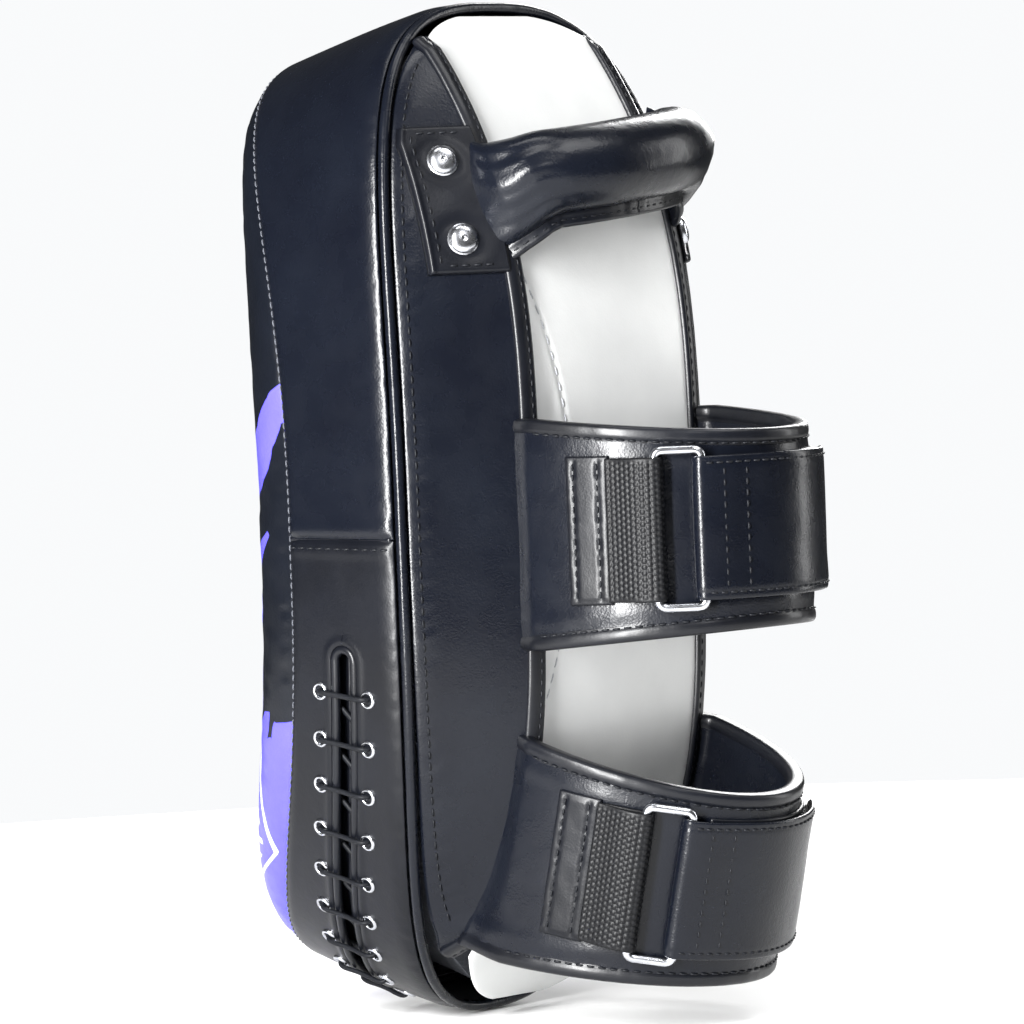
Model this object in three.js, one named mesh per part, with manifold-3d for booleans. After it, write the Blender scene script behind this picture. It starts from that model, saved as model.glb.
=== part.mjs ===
// Thai pad: a curved kick pad with a laced foam body, a rear handle and two forearm straps.
// Millimetres. +Z runs along the pad, +X across it, -Y is the struck side, +Y the forearm side.
// The origin is the middle of the forearm panel's outer face.
import * as THREE from "three";
import { mergeVertices } from "three/addons/utils/BufferGeometryUtils.js";
import Module from "manifold-3d";

const wasm = await Module();
wasm.setup();

// ---- driving dimensions ----
const LENGTH = 390;
const WIDTH = 182;
const HALF_LENGTH = LENGTH / 2;
const HALF_WIDTH = WIDTH / 2;
const GAP = 0.3; // clearance kept between touching pieces
const SKIN = 2.0; // coated leather with its backing

// Each seam is a superellipse outline that also bends in Y towards the struck side at its ends.
const BACK_SEAM = {
  top: { half: HALF_LENGTH, powerX: 2.78, powerZ: 3.94, drop: 22.8 },
  bottom: { half: HALF_LENGTH, powerX: 2.34, powerZ: 2.45, drop: 42.1 },
  y: -30.75, bend: 2.67,
};
const FRONT_SEAM = {
  top: { half: HALF_LENGTH - 20, powerX: 2.6, powerZ: 3.5, drop: 49 },
  bottom: { half: HALF_LENGTH - 21, powerX: 2.34, powerZ: 2.45, drop: 61.5 },
  y: -86.25, bend: 2.6,
};
const SIDE_SEAM_Z = -6.5; // height of the seam between the upper and lower gusset
const GUSSET_BULGE = 3.0;

const FOREARM_FLAT = 25; // half length of the flat middle of the forearm panel
const FOREARM_TOP = { drop: 54.5, power: 2.75 };
const FOREARM_BOTTOM = { drop: 63, power: 2.8 };
const RAIL_X = 49.8; // piping along both sides of the forearm panel
const RAIL_RADIUS = 2.6;
const PIPING_RADIUS = 2.2;
const EDGE_INSET = PIPING_RADIUS + 1.2; // from the back seam to the panels' edges

const CROWN = {
  height: 33, reach: 60, power: 4.5, topFade: 0.75, topPower: 1.8, bottomFade: 0.6, bottomPower: 4,
};

const EDGE_HOLD = 6; // how closely the face keeps to its seam's own bend near the edge

const FOAM_INSET = 9.8; // leaves room behind the gusset for the tongue and the lace
const LAYER_LIFT = 1.2; // from the front seam to the back of the strike foam
const FOREARM_FOAM_SHARE = 0.6; // share of the panel's rise that is the separate forearm foam

const SLOT = { topZ: -46.5, halfWidth: 6.5 };
const EYELET = { rows: 19, topZ: -65.5, spread: 12, hole: 2.35, radius: 3.4, height: 1.0 };
const HEM = { inner: 7.0, outer: 16.5, low: 0.3, high: 0.9 };
const LACE = { radius: 1.15, outside: 2.75, inside: -3.9 };
const TONGUE = { high: -6.8, low: -8.0, halfWidth: 15 };

const HANDLE = {
  halfLength: 50, z: 133.5, tilt: 5, midY: 13, endY: -4, bow: 2.6,
  core: 6, padding: 13, cover: 15.8, endCover: 10,
};
const TAB = { inner: 57, outer: 77, low: 92, high: 148, thick: 2.8 };
const RIVET = { cap: 5.5, height: 2.8, shank: 1.9, hole: 2.3, length: 8.2 };
const RIVET_SPOTS = { upper: [64.5, 134.5], lower: [64.5, 105] };
const WASHER = { radius: 6, thick: 0.7 };

const STRAP = { baseHalf: 44, peakHalf: 37.5, halfWidth: 56, rise: 72, leg: 7, thick: 5, binding: 3.2 };
const UPPER_STRAP = { name: "upper", z: -7, y: 0, tilt: 0 };
const LOWER_STRAP = { name: "lower", z: -126, y: -15, tilt: -13.5 };
const RING = { fixedAngle: 41, freeAngle: 55.5, offset: 6.9, wire: 1.7, halfHeight: 29.5, z: 1.5 };
const TAPE_HALF_HEIGHT = 27; // webbing and tail, inside the ring
const RING_TAB = { from: 13, to: 27 };
const TAIL_BASE = { from: 62, to: 156 };
const LOOP_PATCH = { from: 72, to: 150 };
const FLAP_END = 132;
const HOOK_PATCH = { from: 76, to: 130 };

const RING_STEPS = 36; // points round the body's outline
const CROWN_RINGS = [0.3, 0.55, 0.75, 0.86, 0.93, 0.97, 0.99, 1];
const BACK_RINGS = [1, 0.93, 0.82, 0.66, 0.45, 0.22];

// ---- materials ----
const glossBlack = new THREE.MeshStandardMaterial({ color: 0x12141b, roughness: 0.32, metalness: 0 });
const matteBlack = new THREE.MeshStandardMaterial({ color: 0x15171f, roughness: 0.62, metalness: 0 });
const violet = new THREE.MeshStandardMaterial({ color: 0x4b47c0, roughness: 0.42, metalness: 0 });
const offWhite = new THREE.MeshStandardMaterial({ color: 0xe6e7e6, roughness: 0.5, metalness: 0 });
const webbing = new THREE.MeshStandardMaterial({ color: 0x101114, roughness: 0.85, metalness: 0 });
const chrome = new THREE.MeshStandardMaterial({ color: 0xd6d8dc, roughness: 0.14, metalness: 1 });
const foam = new THREE.MeshStandardMaterial({ color: 0x3c3d42, roughness: 0.95, metalness: 0 });
const rope = new THREE.MeshStandardMaterial({ color: 0x8c8578, roughness: 0.9, metalness: 0 });

const pad = new THREE.Group();
const radians = THREE.MathUtils.degToRad;
const clamp = THREE.MathUtils.clamp;
const lerp = THREE.MathUtils.lerp;

function addPiece(parent, name, geometry, material) {
  const mesh = new THREE.Mesh(geometry, material);
  mesh.name = name;
  parent.add(mesh);
  return mesh;
}

// ---- mesh helpers ----
function meshFrom(points, faces) {
  const geometry = new THREE.BufferGeometry();
  const flat = points.flatMap((p) => [p.x, p.y, p.z]);
  geometry.setAttribute("position", new THREE.Float32BufferAttribute(flat, 3));
  geometry.setIndex(faces.flat());
  return facingOut(geometry);
}

function facingOut(geometry) {
  const position = geometry.getAttribute("position");
  const index = Array.from(geometry.getIndex().array);
  const corner = [0, 1, 2].map(() => new THREE.Vector3());
  let volume = 0;
  for (let i = 0; i < index.length; i += 3) {
    corner.forEach((c, k) => c.fromBufferAttribute(position, index[i + k]));
    volume += corner[0].dot(corner[1].clone().cross(corner[2]));
  }
  if (volume < 0) {
    for (let i = 0; i < index.length; i += 3) [index[i], index[i + 1]] = [index[i + 1], index[i]];
  }
  geometry.setIndex(index);
  return geometry;
}

function bridge(faces, ringA, ringB, closed = true) {
  const count = ringA.length;
  for (let i = 0; i < (closed ? count : count - 1); i++) {
    const j = (i + 1) % count;
    faces.push([ringA[i], ringA[j], ringB[j]], [ringA[i], ringB[j], ringB[i]]);
  }
}

// Closed sections joined in order. "strip" caps suit thin slabs whose section goes out along one
// face and back along the other, "fan" caps suit round sections, and "loop" joins last to first.
function loft(sections, ends = "strip") {
  const count = sections[0].length;
  const points = sections.flat();
  const rings = sections.map((_, row) => sections[0].map((_, i) => row * count + i));
  const faces = [];
  for (let row = 0; row + 1 < rings.length; row++) bridge(faces, rings[row], rings[row + 1]);
  if (ends === "loop") {
    bridge(faces, rings.at(-1), rings[0]);
    return meshFrom(points, faces);
  }
  for (const [ring, flip] of [[rings[0], true], [rings.at(-1), false]]) {
    const cap = [];
    if (ends === "fan") {
      for (let i = 1; i + 1 < count; i++) cap.push([ring[0], ring[i], ring[i + 1]]);
    } else {
      for (let i = 0; i + 1 < count / 2; i++) {
        const [a, b, c, d] = [ring[i], ring[i + 1], ring[count - 2 - i], ring[count - 1 - i]];
        cap.push([a, b, c], [a, c, d]);
      }
    }
    faces.push(...cap.map((f) => (flip ? [f[0], f[2], f[1]] : f)));
  }
  return meshFrom(points, faces);
}

// A closed skin from a first pole, through rings, to a last pole.
function poleSolid(firstPole, rings, lastPole) {
  const count = rings[0].length;
  const points = [firstPole, ...rings.flat(), lastPole];
  const ids = rings.map((_, row) => rings[0].map((_, i) => 1 + row * count + i));
  const faces = [];
  for (let i = 0; i < count; i++) {
    const j = (i + 1) % count;
    faces.push([0, ids[0][j], ids[0][i]], [points.length - 1, ids.at(-1)[i], ids.at(-1)[j]]);
  }
  for (let row = 0; row + 1 < ids.length; row++) bridge(faces, ids[row], ids[row + 1]);
  return meshFrom(points, faces);
}

function solidOf(geometry) {
  const bare = geometry.clone();
  bare.deleteAttribute("normal");
  bare.deleteAttribute("uv");
  const merged = mergeVertices(bare, 1e-4);
  const vertProperties = new Float32Array(merged.getAttribute("position").array);
  const triVerts = new Uint32Array(merged.getIndex().array);
  return new wasm.Manifold(new wasm.Mesh({ numProp: 3, vertProperties, triVerts }));
}

function geometryOf(solid) {
  const mesh = solid.getMesh();
  const geometry = new THREE.BufferGeometry();
  geometry.setAttribute("position", new THREE.BufferAttribute(mesh.vertProperties, 3));
  geometry.setIndex(Array.from(mesh.triVerts));
  return geometry;
}

// ---- the pad's surfaces ----
const endOf = (seam, z) => (z >= 0 ? seam.top : seam.bottom);

function seamY(seam, z) {
  const end = endOf(seam, z);
  return seam.y - end.drop * Math.min(Math.abs(z) / end.half, 1) ** seam.bend;
}

function seamPoint(seam, angle) {
  const [c, s] = [Math.cos(angle), Math.sin(angle)];
  const end = endOf(seam, s);
  const x = HALF_WIDTH * Math.sign(c) * Math.abs(c) ** (2 / end.powerX);
  const z = end.half * Math.sign(s) * Math.abs(s) ** (2 / end.powerZ);
  return new THREE.Vector3(x, seamY(seam, z), z);
}

function outlineHalfWidth(z, inset = 0) {
  const end = endOf(BACK_SEAM, z);
  const share = 1 - Math.min(Math.abs(z) / (end.half - inset), 1) ** end.powerZ;
  return (HALF_WIDTH - inset) * share ** (1 / end.powerX);
}

// Angles that are evenly spaced along the body's side, starting on +X at the side seam.
function evenAngles(first, last, steps) {
  const fine = 900;
  const mid = (angle) => seamPoint(BACK_SEAM, angle).lerp(seamPoint(FRONT_SEAM, angle), 0.5);
  const lengths = [0];
  const angles = [first];
  for (let i = 1; i <= fine; i++) {
    angles.push(lerp(first, last, i / fine));
    lengths.push(lengths[i - 1] + mid(angles[i]).distanceTo(mid(angles[i - 1])));
  }
  const result = [];
  let k = 0;
  for (let i = 0; i <= steps; i++) {
    const target = (lengths[fine] * i) / steps;
    while (k < fine - 1 && lengths[k + 1] < target) k++;
    const share = (target - lengths[k]) / (lengths[k + 1] - lengths[k]);
    result.push(lerp(angles[k], angles[k + 1], share));
  }
  return { angles: result, length: lengths[fine] };
}

function angleAtZ(z) {
  let [low, high] = [-Math.PI / 2, Math.PI / 2];
  for (let i = 0; i < 60; i++) {
    const middle = (low + high) / 2;
    if (seamPoint(BACK_SEAM, middle).z + seamPoint(FRONT_SEAM, middle).z < 2 * z) low = middle;
    else high = middle;
  }
  return (low + high) / 2;
}

// The gusset: share runs from 0 at the front seam to 1 at the back seam.
function gussetSurface(angle, share) {
  const front = seamPoint(FRONT_SEAM, angle);
  const back = seamPoint(BACK_SEAM, angle);
  const step = 1e-3;
  const along = seamPoint(BACK_SEAM, angle + step).sub(seamPoint(BACK_SEAM, angle - step));
  const across = back.clone().sub(front);
  const width = across.length();
  const normal = across.clone().cross(along).normalize();
  if (normal.x * front.x + normal.z * front.z < 0) normal.negate();
  const point = front.lerp(back, share).addScaledVector(normal, GUSSET_BULGE * Math.sin(Math.PI * share));
  return { point, normal, across: across.normalize(), along: along.normalize(), width };
}

const gussetPoint = (angle, share, offset) => {
  const { point, normal } = gussetSurface(angle, share);
  return point.addScaledVector(normal, offset);
};

// A band that follows the gusset between two shares and two offsets.
function gussetBand(angles, sharesAt, high, low, steps) {
  return loft(angles.map((angle) => {
    const [from, to] = sharesAt(angle);
    const shares = Array.from({ length: steps + 1 }, (_, i) => lerp(from, to, i / steps));
    const outer = shares.map((share) => gussetPoint(angle, share, high));
    const inner = shares.reverse().map((share) => gussetPoint(angle, share, low));
    return [...outer, ...inner];
  }));
}

function forearmY(z) {
  const end = z >= 0 ? FOREARM_TOP : FOREARM_BOTTOM;
  const run = Math.max(0, Math.abs(z) - FOREARM_FLAT) / (HALF_LENGTH - FOREARM_FLAT);
  return -end.drop * Math.min(run, 1) ** end.power;
}

// The forearm side: slopes rise from the back seam to the rails and the panel lies between them.
function backY(x, z, share = 1) {
  const width = outlineHalfWidth(z);
  const climb = clamp((width - Math.abs(x)) / Math.max(width - RAIL_X, 10), 0, share);
  return lerp(seamY(BACK_SEAM, z), forearmY(z), climb);
}

function backNormal(x, z) {
  const step = 0.5;
  const slopeX = (backY(x + step, z) - backY(x - step, z)) / (2 * step);
  const slopeZ = (backY(x, z + step) - backY(x, z - step)) / (2 * step);
  return new THREE.Vector3(-slopeX, 1, -slopeZ).normalize();
}

// The struck side: a crown that rises quickly from the front seam to a broad flat.
function crownHeight(z, distance, skin) {
  const end = endOf(FRONT_SEAM, z);
  const reach = Math.min(Math.abs(z) / end.half, 1);
  const [fade, power] = z >= 0 ? [CROWN.topFade, CROWN.topPower] : [CROWN.bottomFade, CROWN.bottomPower];
  const rise = Math.sqrt(1 - (1 - clamp(distance / CROWN.reach, 0, 1)) ** CROWN.power);
  return Math.max(CROWN.height * (1 - fade * reach ** power) - skin, 0) * rise;
}

function strikePoint(angle, ring, inset, skin) {
  const edge = seamPoint(FRONT_SEAM, angle);
  const step = 1e-3;
  const along = seamPoint(FRONT_SEAM, angle + step).sub(seamPoint(FRONT_SEAM, angle - step));
  const support = Math.abs(edge.x * along.z - edge.z * along.x) / Math.hypot(along.x, along.z);
  const scale = (ring * (support - inset)) / support;
  const [x, z] = [edge.x * scale, edge.z * scale];
  const base = lerp(seamY(FRONT_SEAM, z), edge.y, ring ** EDGE_HOLD) - 2 * GAP;
  return new THREE.Vector3(x, base - crownHeight(z, (1 - ring) * support, skin), z);
}

// The plane between the strike foam and the core foam, which bends with the front seam.
function layerPoint(angle, ring, inset, lift) {
  const { x, z } = strikePoint(angle, ring, inset, 0);
  return new THREE.Vector3(x, seamY(FRONT_SEAM, z) + lift, z);
}

const centreOf = (y) => new THREE.Vector3(0, y, 0);
const outlineAngles = evenAngles(0, 2 * Math.PI, RING_STEPS).angles.slice(0, -1);
const ringOf = (make) => outlineAngles.map(make);

// ---- body: covers and foams ----
function addBody() {
  const outerRings = CROWN_RINGS.map((r) => ringOf((a) => strikePoint(a, r, 0, 0)));
  const innerRings = [...CROWN_RINGS].reverse().map((r) => ringOf((a) => strikePoint(a, r, SKIN, SKIN)));
  const crownTop = seamY(FRONT_SEAM, 0) - CROWN.height;
  const cover = poleSolid(centreOf(crownTop), [...outerRings, ...innerRings], centreOf(crownTop + SKIN));
  addPiece(pad, "strike_face_cover", cover, violet);

  const foamSkin = SKIN + 1.5;
  const foamFront = CROWN_RINGS.map((r) => ringOf((a) => strikePoint(a, r, foamSkin, foamSkin)));
  const seamRings = [1, 0.97, 0.86, 0.75, 0.55, 0.3];
  const foamBack = seamRings.map((r) => ringOf((a) => layerPoint(a, r, foamSkin, LAYER_LIFT)));
  const strikeFoam = poleSolid(centreOf(crownTop + foamSkin), [...foamFront, ...foamBack],
    centreOf(FRONT_SEAM.y + LAYER_LIFT));
  addPiece(pad, "strike_foam", strikeFoam, foam);

  const insetBack = (angle, ring) => {
    const edge = seamPoint(BACK_SEAM, angle);
    const { normal } = gussetSurface(angle, 1);
    const flat = new THREE.Vector3(normal.x, 0, normal.z).normalize();
    const start = edge.addScaledVector(flat, -FOAM_INSET);
    const [x, z] = [start.x * ring, start.z * ring];
    return new THREE.Vector3(x, backY(x, z, 1 - FOREARM_FOAM_SHARE) - 5.4, z);
  };
  const coreLift = LAYER_LIFT + 1.8;
  const coreRing = (r) => ringOf((a) => layerPoint(a, r, FOAM_INSET, coreLift));
  const coreFront = [...seamRings].reverse().map(coreRing);
  const coreBack = BACK_RINGS.map((r) => ringOf((a) => insetBack(a, r)));
  const coreFoam = poleSolid(centreOf(FRONT_SEAM.y + coreLift), [...coreFront, ...coreBack],
    centreOf(backY(0, 0, 1 - FOREARM_FOAM_SHARE) - 5.4));
  addPiece(pad, "core_foam", coreFoam, foam);

  const foamRows = evenSteps(-150, 150, 20);
  const forearmFoam = loft(foamRows.map((z) => {
    const width = outlineHalfWidth(z);
    const climb = (share) => width - share * (width - RAIL_X);
    const edge = climb(1 - FOREARM_FOAM_SHARE + 0.08);
    const shoulder = Math.min(RAIL_X - 1, edge);
    const top = forearmY(z) - 3.4;
    const base = backY(0, z, 1 - FOREARM_FOAM_SHARE) - 4.2;
    const brim = base + 0.8;
    return [
      new THREE.Vector3(-edge, brim, z), new THREE.Vector3(-shoulder, top, z),
      new THREE.Vector3(shoulder, top, z), new THREE.Vector3(edge, brim, z),
      new THREE.Vector3(edge, base, z), new THREE.Vector3(shoulder, base, z),
      new THREE.Vector3(-shoulder, base, z), new THREE.Vector3(-edge, base, z),
    ];
  }));
  addPiece(pad, "forearm_foam", forearmFoam, foam);
}

function evenSteps(first, last, steps) {
  return Array.from({ length: steps + 1 }, (_, i) => lerp(first, last, i / steps));
}

// A slab over the forearm side, between two X limits that depend on Z.
function backSlab(rows, limits, columns, high, low) {
  return loft(rows.map((z) => {
    const [from, to] = limits(z);
    const xs = evenSteps(from, to, columns);
    const outer = xs.map((x) => new THREE.Vector3(x, backY(x, z) + high, z));
    const inner = xs.reverse().map((x) => new THREE.Vector3(x, backY(x, z) + low, z));
    return [...outer, ...inner];
  }));
}

function zWhereWidth(width, sign) {
  let [low, high] = [0, HALF_LENGTH];
  for (let i = 0; i < 50; i++) {
    const middle = (low + high) / 2;
    if (outlineHalfWidth(sign * middle) > width) low = middle;
    else high = middle;
  }
  return sign * low;
}

function tube(points, radius, sides, closed = false) {
  const count = points.length;
  const sections = points.map((point, i) => {
    const before = points[closed ? (i + count - 1) % count : Math.max(i - 1, 0)];
    const after = points[closed ? (i + 1) % count : Math.min(i + 1, count - 1)];
    const tangent = after.clone().sub(before).normalize();
    const side = new THREE.Vector3(0, 1, 0).cross(tangent).normalize();
    const up = tangent.clone().cross(side);
    return evenSteps(0, 2 * Math.PI, sides).slice(0, -1).map((turn) => point.clone()
      .addScaledVector(side, radius * Math.cos(turn)).addScaledVector(up, radius * Math.sin(turn)));
  });
  return loft(sections, closed ? "loop" : "fan");
}

const sideNames = [["right", 1], ["left", -1]];

function rivetPose(side, [x, z]) {
  const normal = backNormal(side * x, z);
  return { point: new THREE.Vector3(side * x, backY(side * x, z), z), normal };
}

function placedOnNormal(geometry, point, normal, offset) {
  const turn = new THREE.Quaternion().setFromUnitVectors(new THREE.Vector3(0, 1, 0), normal);
  const at = point.clone().addScaledVector(normal, offset);
  return geometry.applyMatrix4(new THREE.Matrix4().compose(at, turn, new THREE.Vector3(1, 1, 1)));
}

function drilled(geometry, spots, radius, depth, sides) {
  return geometryOf(spots.reduce((solid, { point, normal }) => {
    const bit = new THREE.CylinderGeometry(radius, radius, depth, sides);
    const drill = placedOnNormal(bit, point, normal, 0);
    return solid.subtract(solidOf(drill));
  }, solidOf(geometry)));
}

function addBackPanels() {
  const forearmHalf = RAIL_X - RAIL_RADIUS - GAP;
  const forearmRows = [
    -189.5, -188, -185, -181, -176, ...evenSteps(-170, -40, 10), -FOREARM_FLAT, 0, FOREARM_FLAT,
    ...evenSteps(40, 170, 10), 176, 181, 185, 188.5, 190.5,
  ];
  const half = (z) => Math.min(forearmHalf, outlineHalfWidth(z, EDGE_INSET));
  const panel = backSlab(forearmRows, (z) => [-half(z), half(z)], 2, 0, -SKIN);
  addPiece(pad, "forearm_panel", panel, offWhite);

  const innerEdge = RAIL_X + RAIL_RADIUS + GAP;
  const slopeTop = zWhereWidth(innerEdge + PIPING_RADIUS + 4, 1);
  const slopeBottom = zWhereWidth(innerEdge + PIPING_RADIUS + 4, -1);
  const railTop = zWhereWidth(RAIL_X + RAIL_RADIUS + PIPING_RADIUS + 1, 1);
  const railBottom = zWhereWidth(RAIL_X + RAIL_RADIUS + PIPING_RADIUS + 1, -1);
  for (const [side, sign] of sideNames) {
    const limits = (z) => {
      const edges = [innerEdge, outlineHalfWidth(z, EDGE_INSET)];
      return edges.map((x) => sign * x);
    };
    const rivets = Object.values(RIVET_SPOTS).map((spot) => rivetPose(sign, spot));
    const slope = backSlab(evenSteps(slopeBottom, slopeTop, 22), limits, 2, 0, -SKIN);
    addPiece(pad, `back_panel_${side}`, drilled(slope, rivets, RIVET.hole, 14, 8), glossBlack);

    const rail = evenSteps(railBottom, railTop, 24)
      .map((z) => new THREE.Vector3(sign * RAIL_X, backY(RAIL_X, z) + 0.4, z));
    addPiece(pad, `rail_piping_${side}`, tube(rail, RAIL_RADIUS, 6), matteBlack);

    const tabLimits = (z) => {
      const outer = Math.min(TAB.outer, outlineHalfWidth(z) - PIPING_RADIUS - 1.5);
      return [sign * TAB.inner, sign * outer];
    };
    const tab = backSlab(evenSteps(TAB.low, TAB.high, 5), tabLimits, 2, GAP + 0.1 + TAB.thick, GAP + 0.1);
    addPiece(pad, `handle_tab_${side}`, drilled(tab, rivets, RIVET.hole, 14, 8), matteBlack);
    Object.keys(RIVET_SPOTS).forEach((level, i) => addRivet(`${level}_${side}`, rivets[i]));
  }
}

function lathe(profile, sides) {
  return new THREE.LatheGeometry(profile.map(([r, h]) => new THREE.Vector2(r, h)), sides);
}

function addRivet(place, { point, normal }) {
  const seat = GAP * 2 + TAB.thick; // under the head, above the tab
  const rivet = lathe([
    [0, RIVET.height - RIVET.length], [RIVET.shank, RIVET.height - RIVET.length], [RIVET.shank, 0],
    [RIVET.cap, 0], [RIVET.cap, 0.6], [4.3, 1.9], [2.3, 2.6], [0, RIVET.height],
  ], 8);
  addPiece(pad, `rivet_${place}`, placedOnNormal(rivet, point, normal, seat), chrome);
  const washer = lathe([
    [RIVET.hole, 0], [WASHER.radius, 0], [WASHER.radius, WASHER.thick],
    [RIVET.hole, WASHER.thick], [RIVET.hole, 0],
  ], 8);
  const under = -SKIN - WASHER.thick;
  addPiece(pad, `rivet_washer_${place}`, placedOnNormal(washer, point, normal, under), chrome);
}

// ---- gusset and lacing ----
function addGusset() {
  const start = angleAtZ(SIDE_SEAM_Z);
  const edgeShares = (angle) => {
    const { width } = gussetSurface(angle, 0);
    return [0.4 / width, 1 - (PIPING_RADIUS + 0.5) / width];
  };
  const seamGap = 0.0016; // radians of clearance at the side seams
  const upperAngles = evenAngles(start + seamGap, Math.PI - start - seamGap, 24).angles;
  addPiece(pad, "gusset_upper", gussetBand(upperAngles, edgeShares, 0, -SKIN, 3), glossBlack);

  const lowerAngles = evenAngles(-Math.PI - start + seamGap, start - seamGap, 28).angles;
  const lower = solidOf(gussetBand(lowerAngles, edgeShares, 0, -SKIN, 2));
  const slotTop = angleAtZ(SLOT.topZ);
  const slotArc = evenAngles(-Math.PI - slotTop, slotTop, 400);
  const reach = (row) => (slotArc.length * Math.min(row, 400 - row)) / 400;
  const slotRows = [0, 2, 5, ...evenSteps(12, 388, 27).map(Math.round), 395, 398, 400];
  const slotShares = (angle) => {
    const row = slotArc.angles.indexOf(angle);
    const inset = Math.min(reach(row) + 0.2, SLOT.halfWidth);
    const half = Math.sqrt(SLOT.halfWidth ** 2 - (SLOT.halfWidth - inset) ** 2);
    const { width } = gussetSurface(angle, 0.5);
    return [0.5 - half / width, 0.5 + half / width];
  };
  const cutter = gussetBand(slotRows.map((row) => slotArc.angles[row]), slotShares, 5, -6, 1);
  const eyeletTop = angleAtZ(EYELET.topZ);
  const eyeletAngles = evenAngles(-Math.PI - eyeletTop, eyeletTop, EYELET.rows - 1).angles;
  const spotsOn = (side) => eyeletAngles.map((angle) => {
    const { width } = gussetSurface(angle, 0.5);
    const { point, normal } = gussetSurface(angle, 0.5 + (side * EYELET.spread) / width);
    return { point, normal };
  });
  const front = spotsOn(-1);
  const back = spotsOn(1);
  const slotted = geometryOf(lower.subtract(solidOf(cutter)));
  const punched = drilled(slotted, [...front, ...back], EYELET.hole, 14, 4);
  addPiece(pad, "gusset_lower", punched, matteBlack);

  const hemAngles = evenAngles(-Math.PI - angleAtZ(SLOT.topZ - 1.5), angleAtZ(SLOT.topZ - 1.5), 26).angles;
  for (const [name, side, spots] of [["front", -1, front], ["back", 1, back]]) {
    const shares = (angle) => {
      const { width } = gussetSurface(angle, 0.5);
      const edges = [HEM.inner, HEM.outer].map((reach) => 0.5 + (side * reach) / width);
      return side > 0 ? edges : edges.reverse();
    };
    const hem = solidOf(gussetBand(hemAngles, shares, HEM.high, HEM.low, 1));
    const ringed = spots.reduce((solid, { point, normal }) => {
      const disc = new THREE.CylinderGeometry(EYELET.radius, EYELET.radius, EYELET.height, 6);
      return solid.add(solidOf(placedOnNormal(disc, point, normal, GAP + 0.1 + EYELET.height / 2)));
    }, hem);
    const row = drilled(geometryOf(ringed), spots, EYELET.hole, 14, 4);
    addPiece(pad, `eyelet_row_${name}`, row, chrome);
  }

  const tongueShares = (angle) => {
    const { width } = gussetSurface(angle, 0.5);
    return [0.5 - TONGUE.halfWidth / width, 0.5 + TONGUE.halfWidth / width];
  };
  const tongueTop = angleAtZ(SLOT.topZ + 10);
  const tongueAngles = evenAngles(-Math.PI - tongueTop, tongueTop, 24).angles;
  const tongue = gussetBand(tongueAngles, tongueShares, TONGUE.high, TONGUE.low, 2);
  addPiece(pad, "lacing_tongue", tongue, matteBlack);

  const route = [];
  front.forEach((f, i) => {
    const b = back[i];
    const at = ({ point, normal }, offset) => point.clone().addScaledVector(normal, offset);
    route.push(at(f, LACE.inside), at(f, LACE.outside), at(b, LACE.outside), at(b, LACE.inside));
  });
  addPiece(pad, "lace", mitredCord(route, LACE.radius, 6), webbing);

  const pipingAngles = evenAngles(0, 2 * Math.PI, 48).angles.slice(0, -1);
  const loop = pipingAngles.map((angle) => seamPoint(BACK_SEAM, angle));
  addPiece(pad, "back_piping", tube(loop, PIPING_RADIUS, 6, true), glossBlack);
}

// A cord with sharp bends: each section lies in the plane that halves its bend.
function mitredCord(route, radius, sides) {
  let normal = null;
  const sections = route.map((point, i) => {
    const before = i > 0 ? point.clone().sub(route[i - 1]).normalize() : null;
    const after = i + 1 < route.length ? route[i + 1].clone().sub(point).normalize() : null;
    const incoming = before ?? after;
    const outgoing = after ?? before;
    const mitre = incoming.clone().add(outgoing).normalize();
    if (!normal) normal = new THREE.Vector3(0.3, 1, 0.2).cross(incoming).normalize();
    normal.addScaledVector(incoming, -normal.dot(incoming)).normalize();
    const other = incoming.clone().cross(normal);
    const ring = evenSteps(0, 2 * Math.PI, sides).slice(0, -1).map((turn) => {
      const spoke = normal.clone().multiplyScalar(radius * Math.cos(turn))
        .addScaledVector(other, radius * Math.sin(turn));
      const slide = -spoke.dot(mitre) / incoming.dot(mitre);
      return point.clone().add(spoke).addScaledVector(incoming, slide);
    });
    const turnAxis = incoming.clone().cross(outgoing);
    if (turnAxis.length() > 1e-6) {
      normal.applyAxisAngle(turnAxis.clone().normalize(), incoming.angleTo(outgoing));
    }
    return ring;
  });
  return loft(sections, "fan");
}

// ---- handle ----
const handleCentre = (x) => {
  const reach = Math.abs(x) / HANDLE.halfLength;
  const y = HANDLE.midY - (HANDLE.midY - HANDLE.endY) * reach ** HANDLE.bow;
  return new THREE.Vector3(x, y, HANDLE.z - (HANDLE.tilt * x) / HANDLE.halfLength);
};

function handleSection(x, radius, sides) {
  const centre = handleCentre(x);
  const tangent = handleCentre(x + 0.5).sub(handleCentre(x - 0.5)).normalize();
  const up = new THREE.Vector3(0, 0, 1).addScaledVector(tangent, -tangent.z).normalize();
  const out = up.clone().cross(tangent);
  return evenSteps(0, 2 * Math.PI, sides).slice(0, -1).map((turn) => centre.clone()
    .addScaledVector(up, radius * Math.cos(turn)).addScaledVector(out, radius * Math.sin(turn)));
}

// A sleeve open at both ends, as one closed wall.
function sleeve(xs, outer, inner, sides) {
  const out = xs.map((x) => handleSection(x, outer(x), sides));
  const back = [...xs].reverse().map((x) => handleSection(x, inner(x), sides));
  return loft([...out, ...back], "loop");
}

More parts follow.
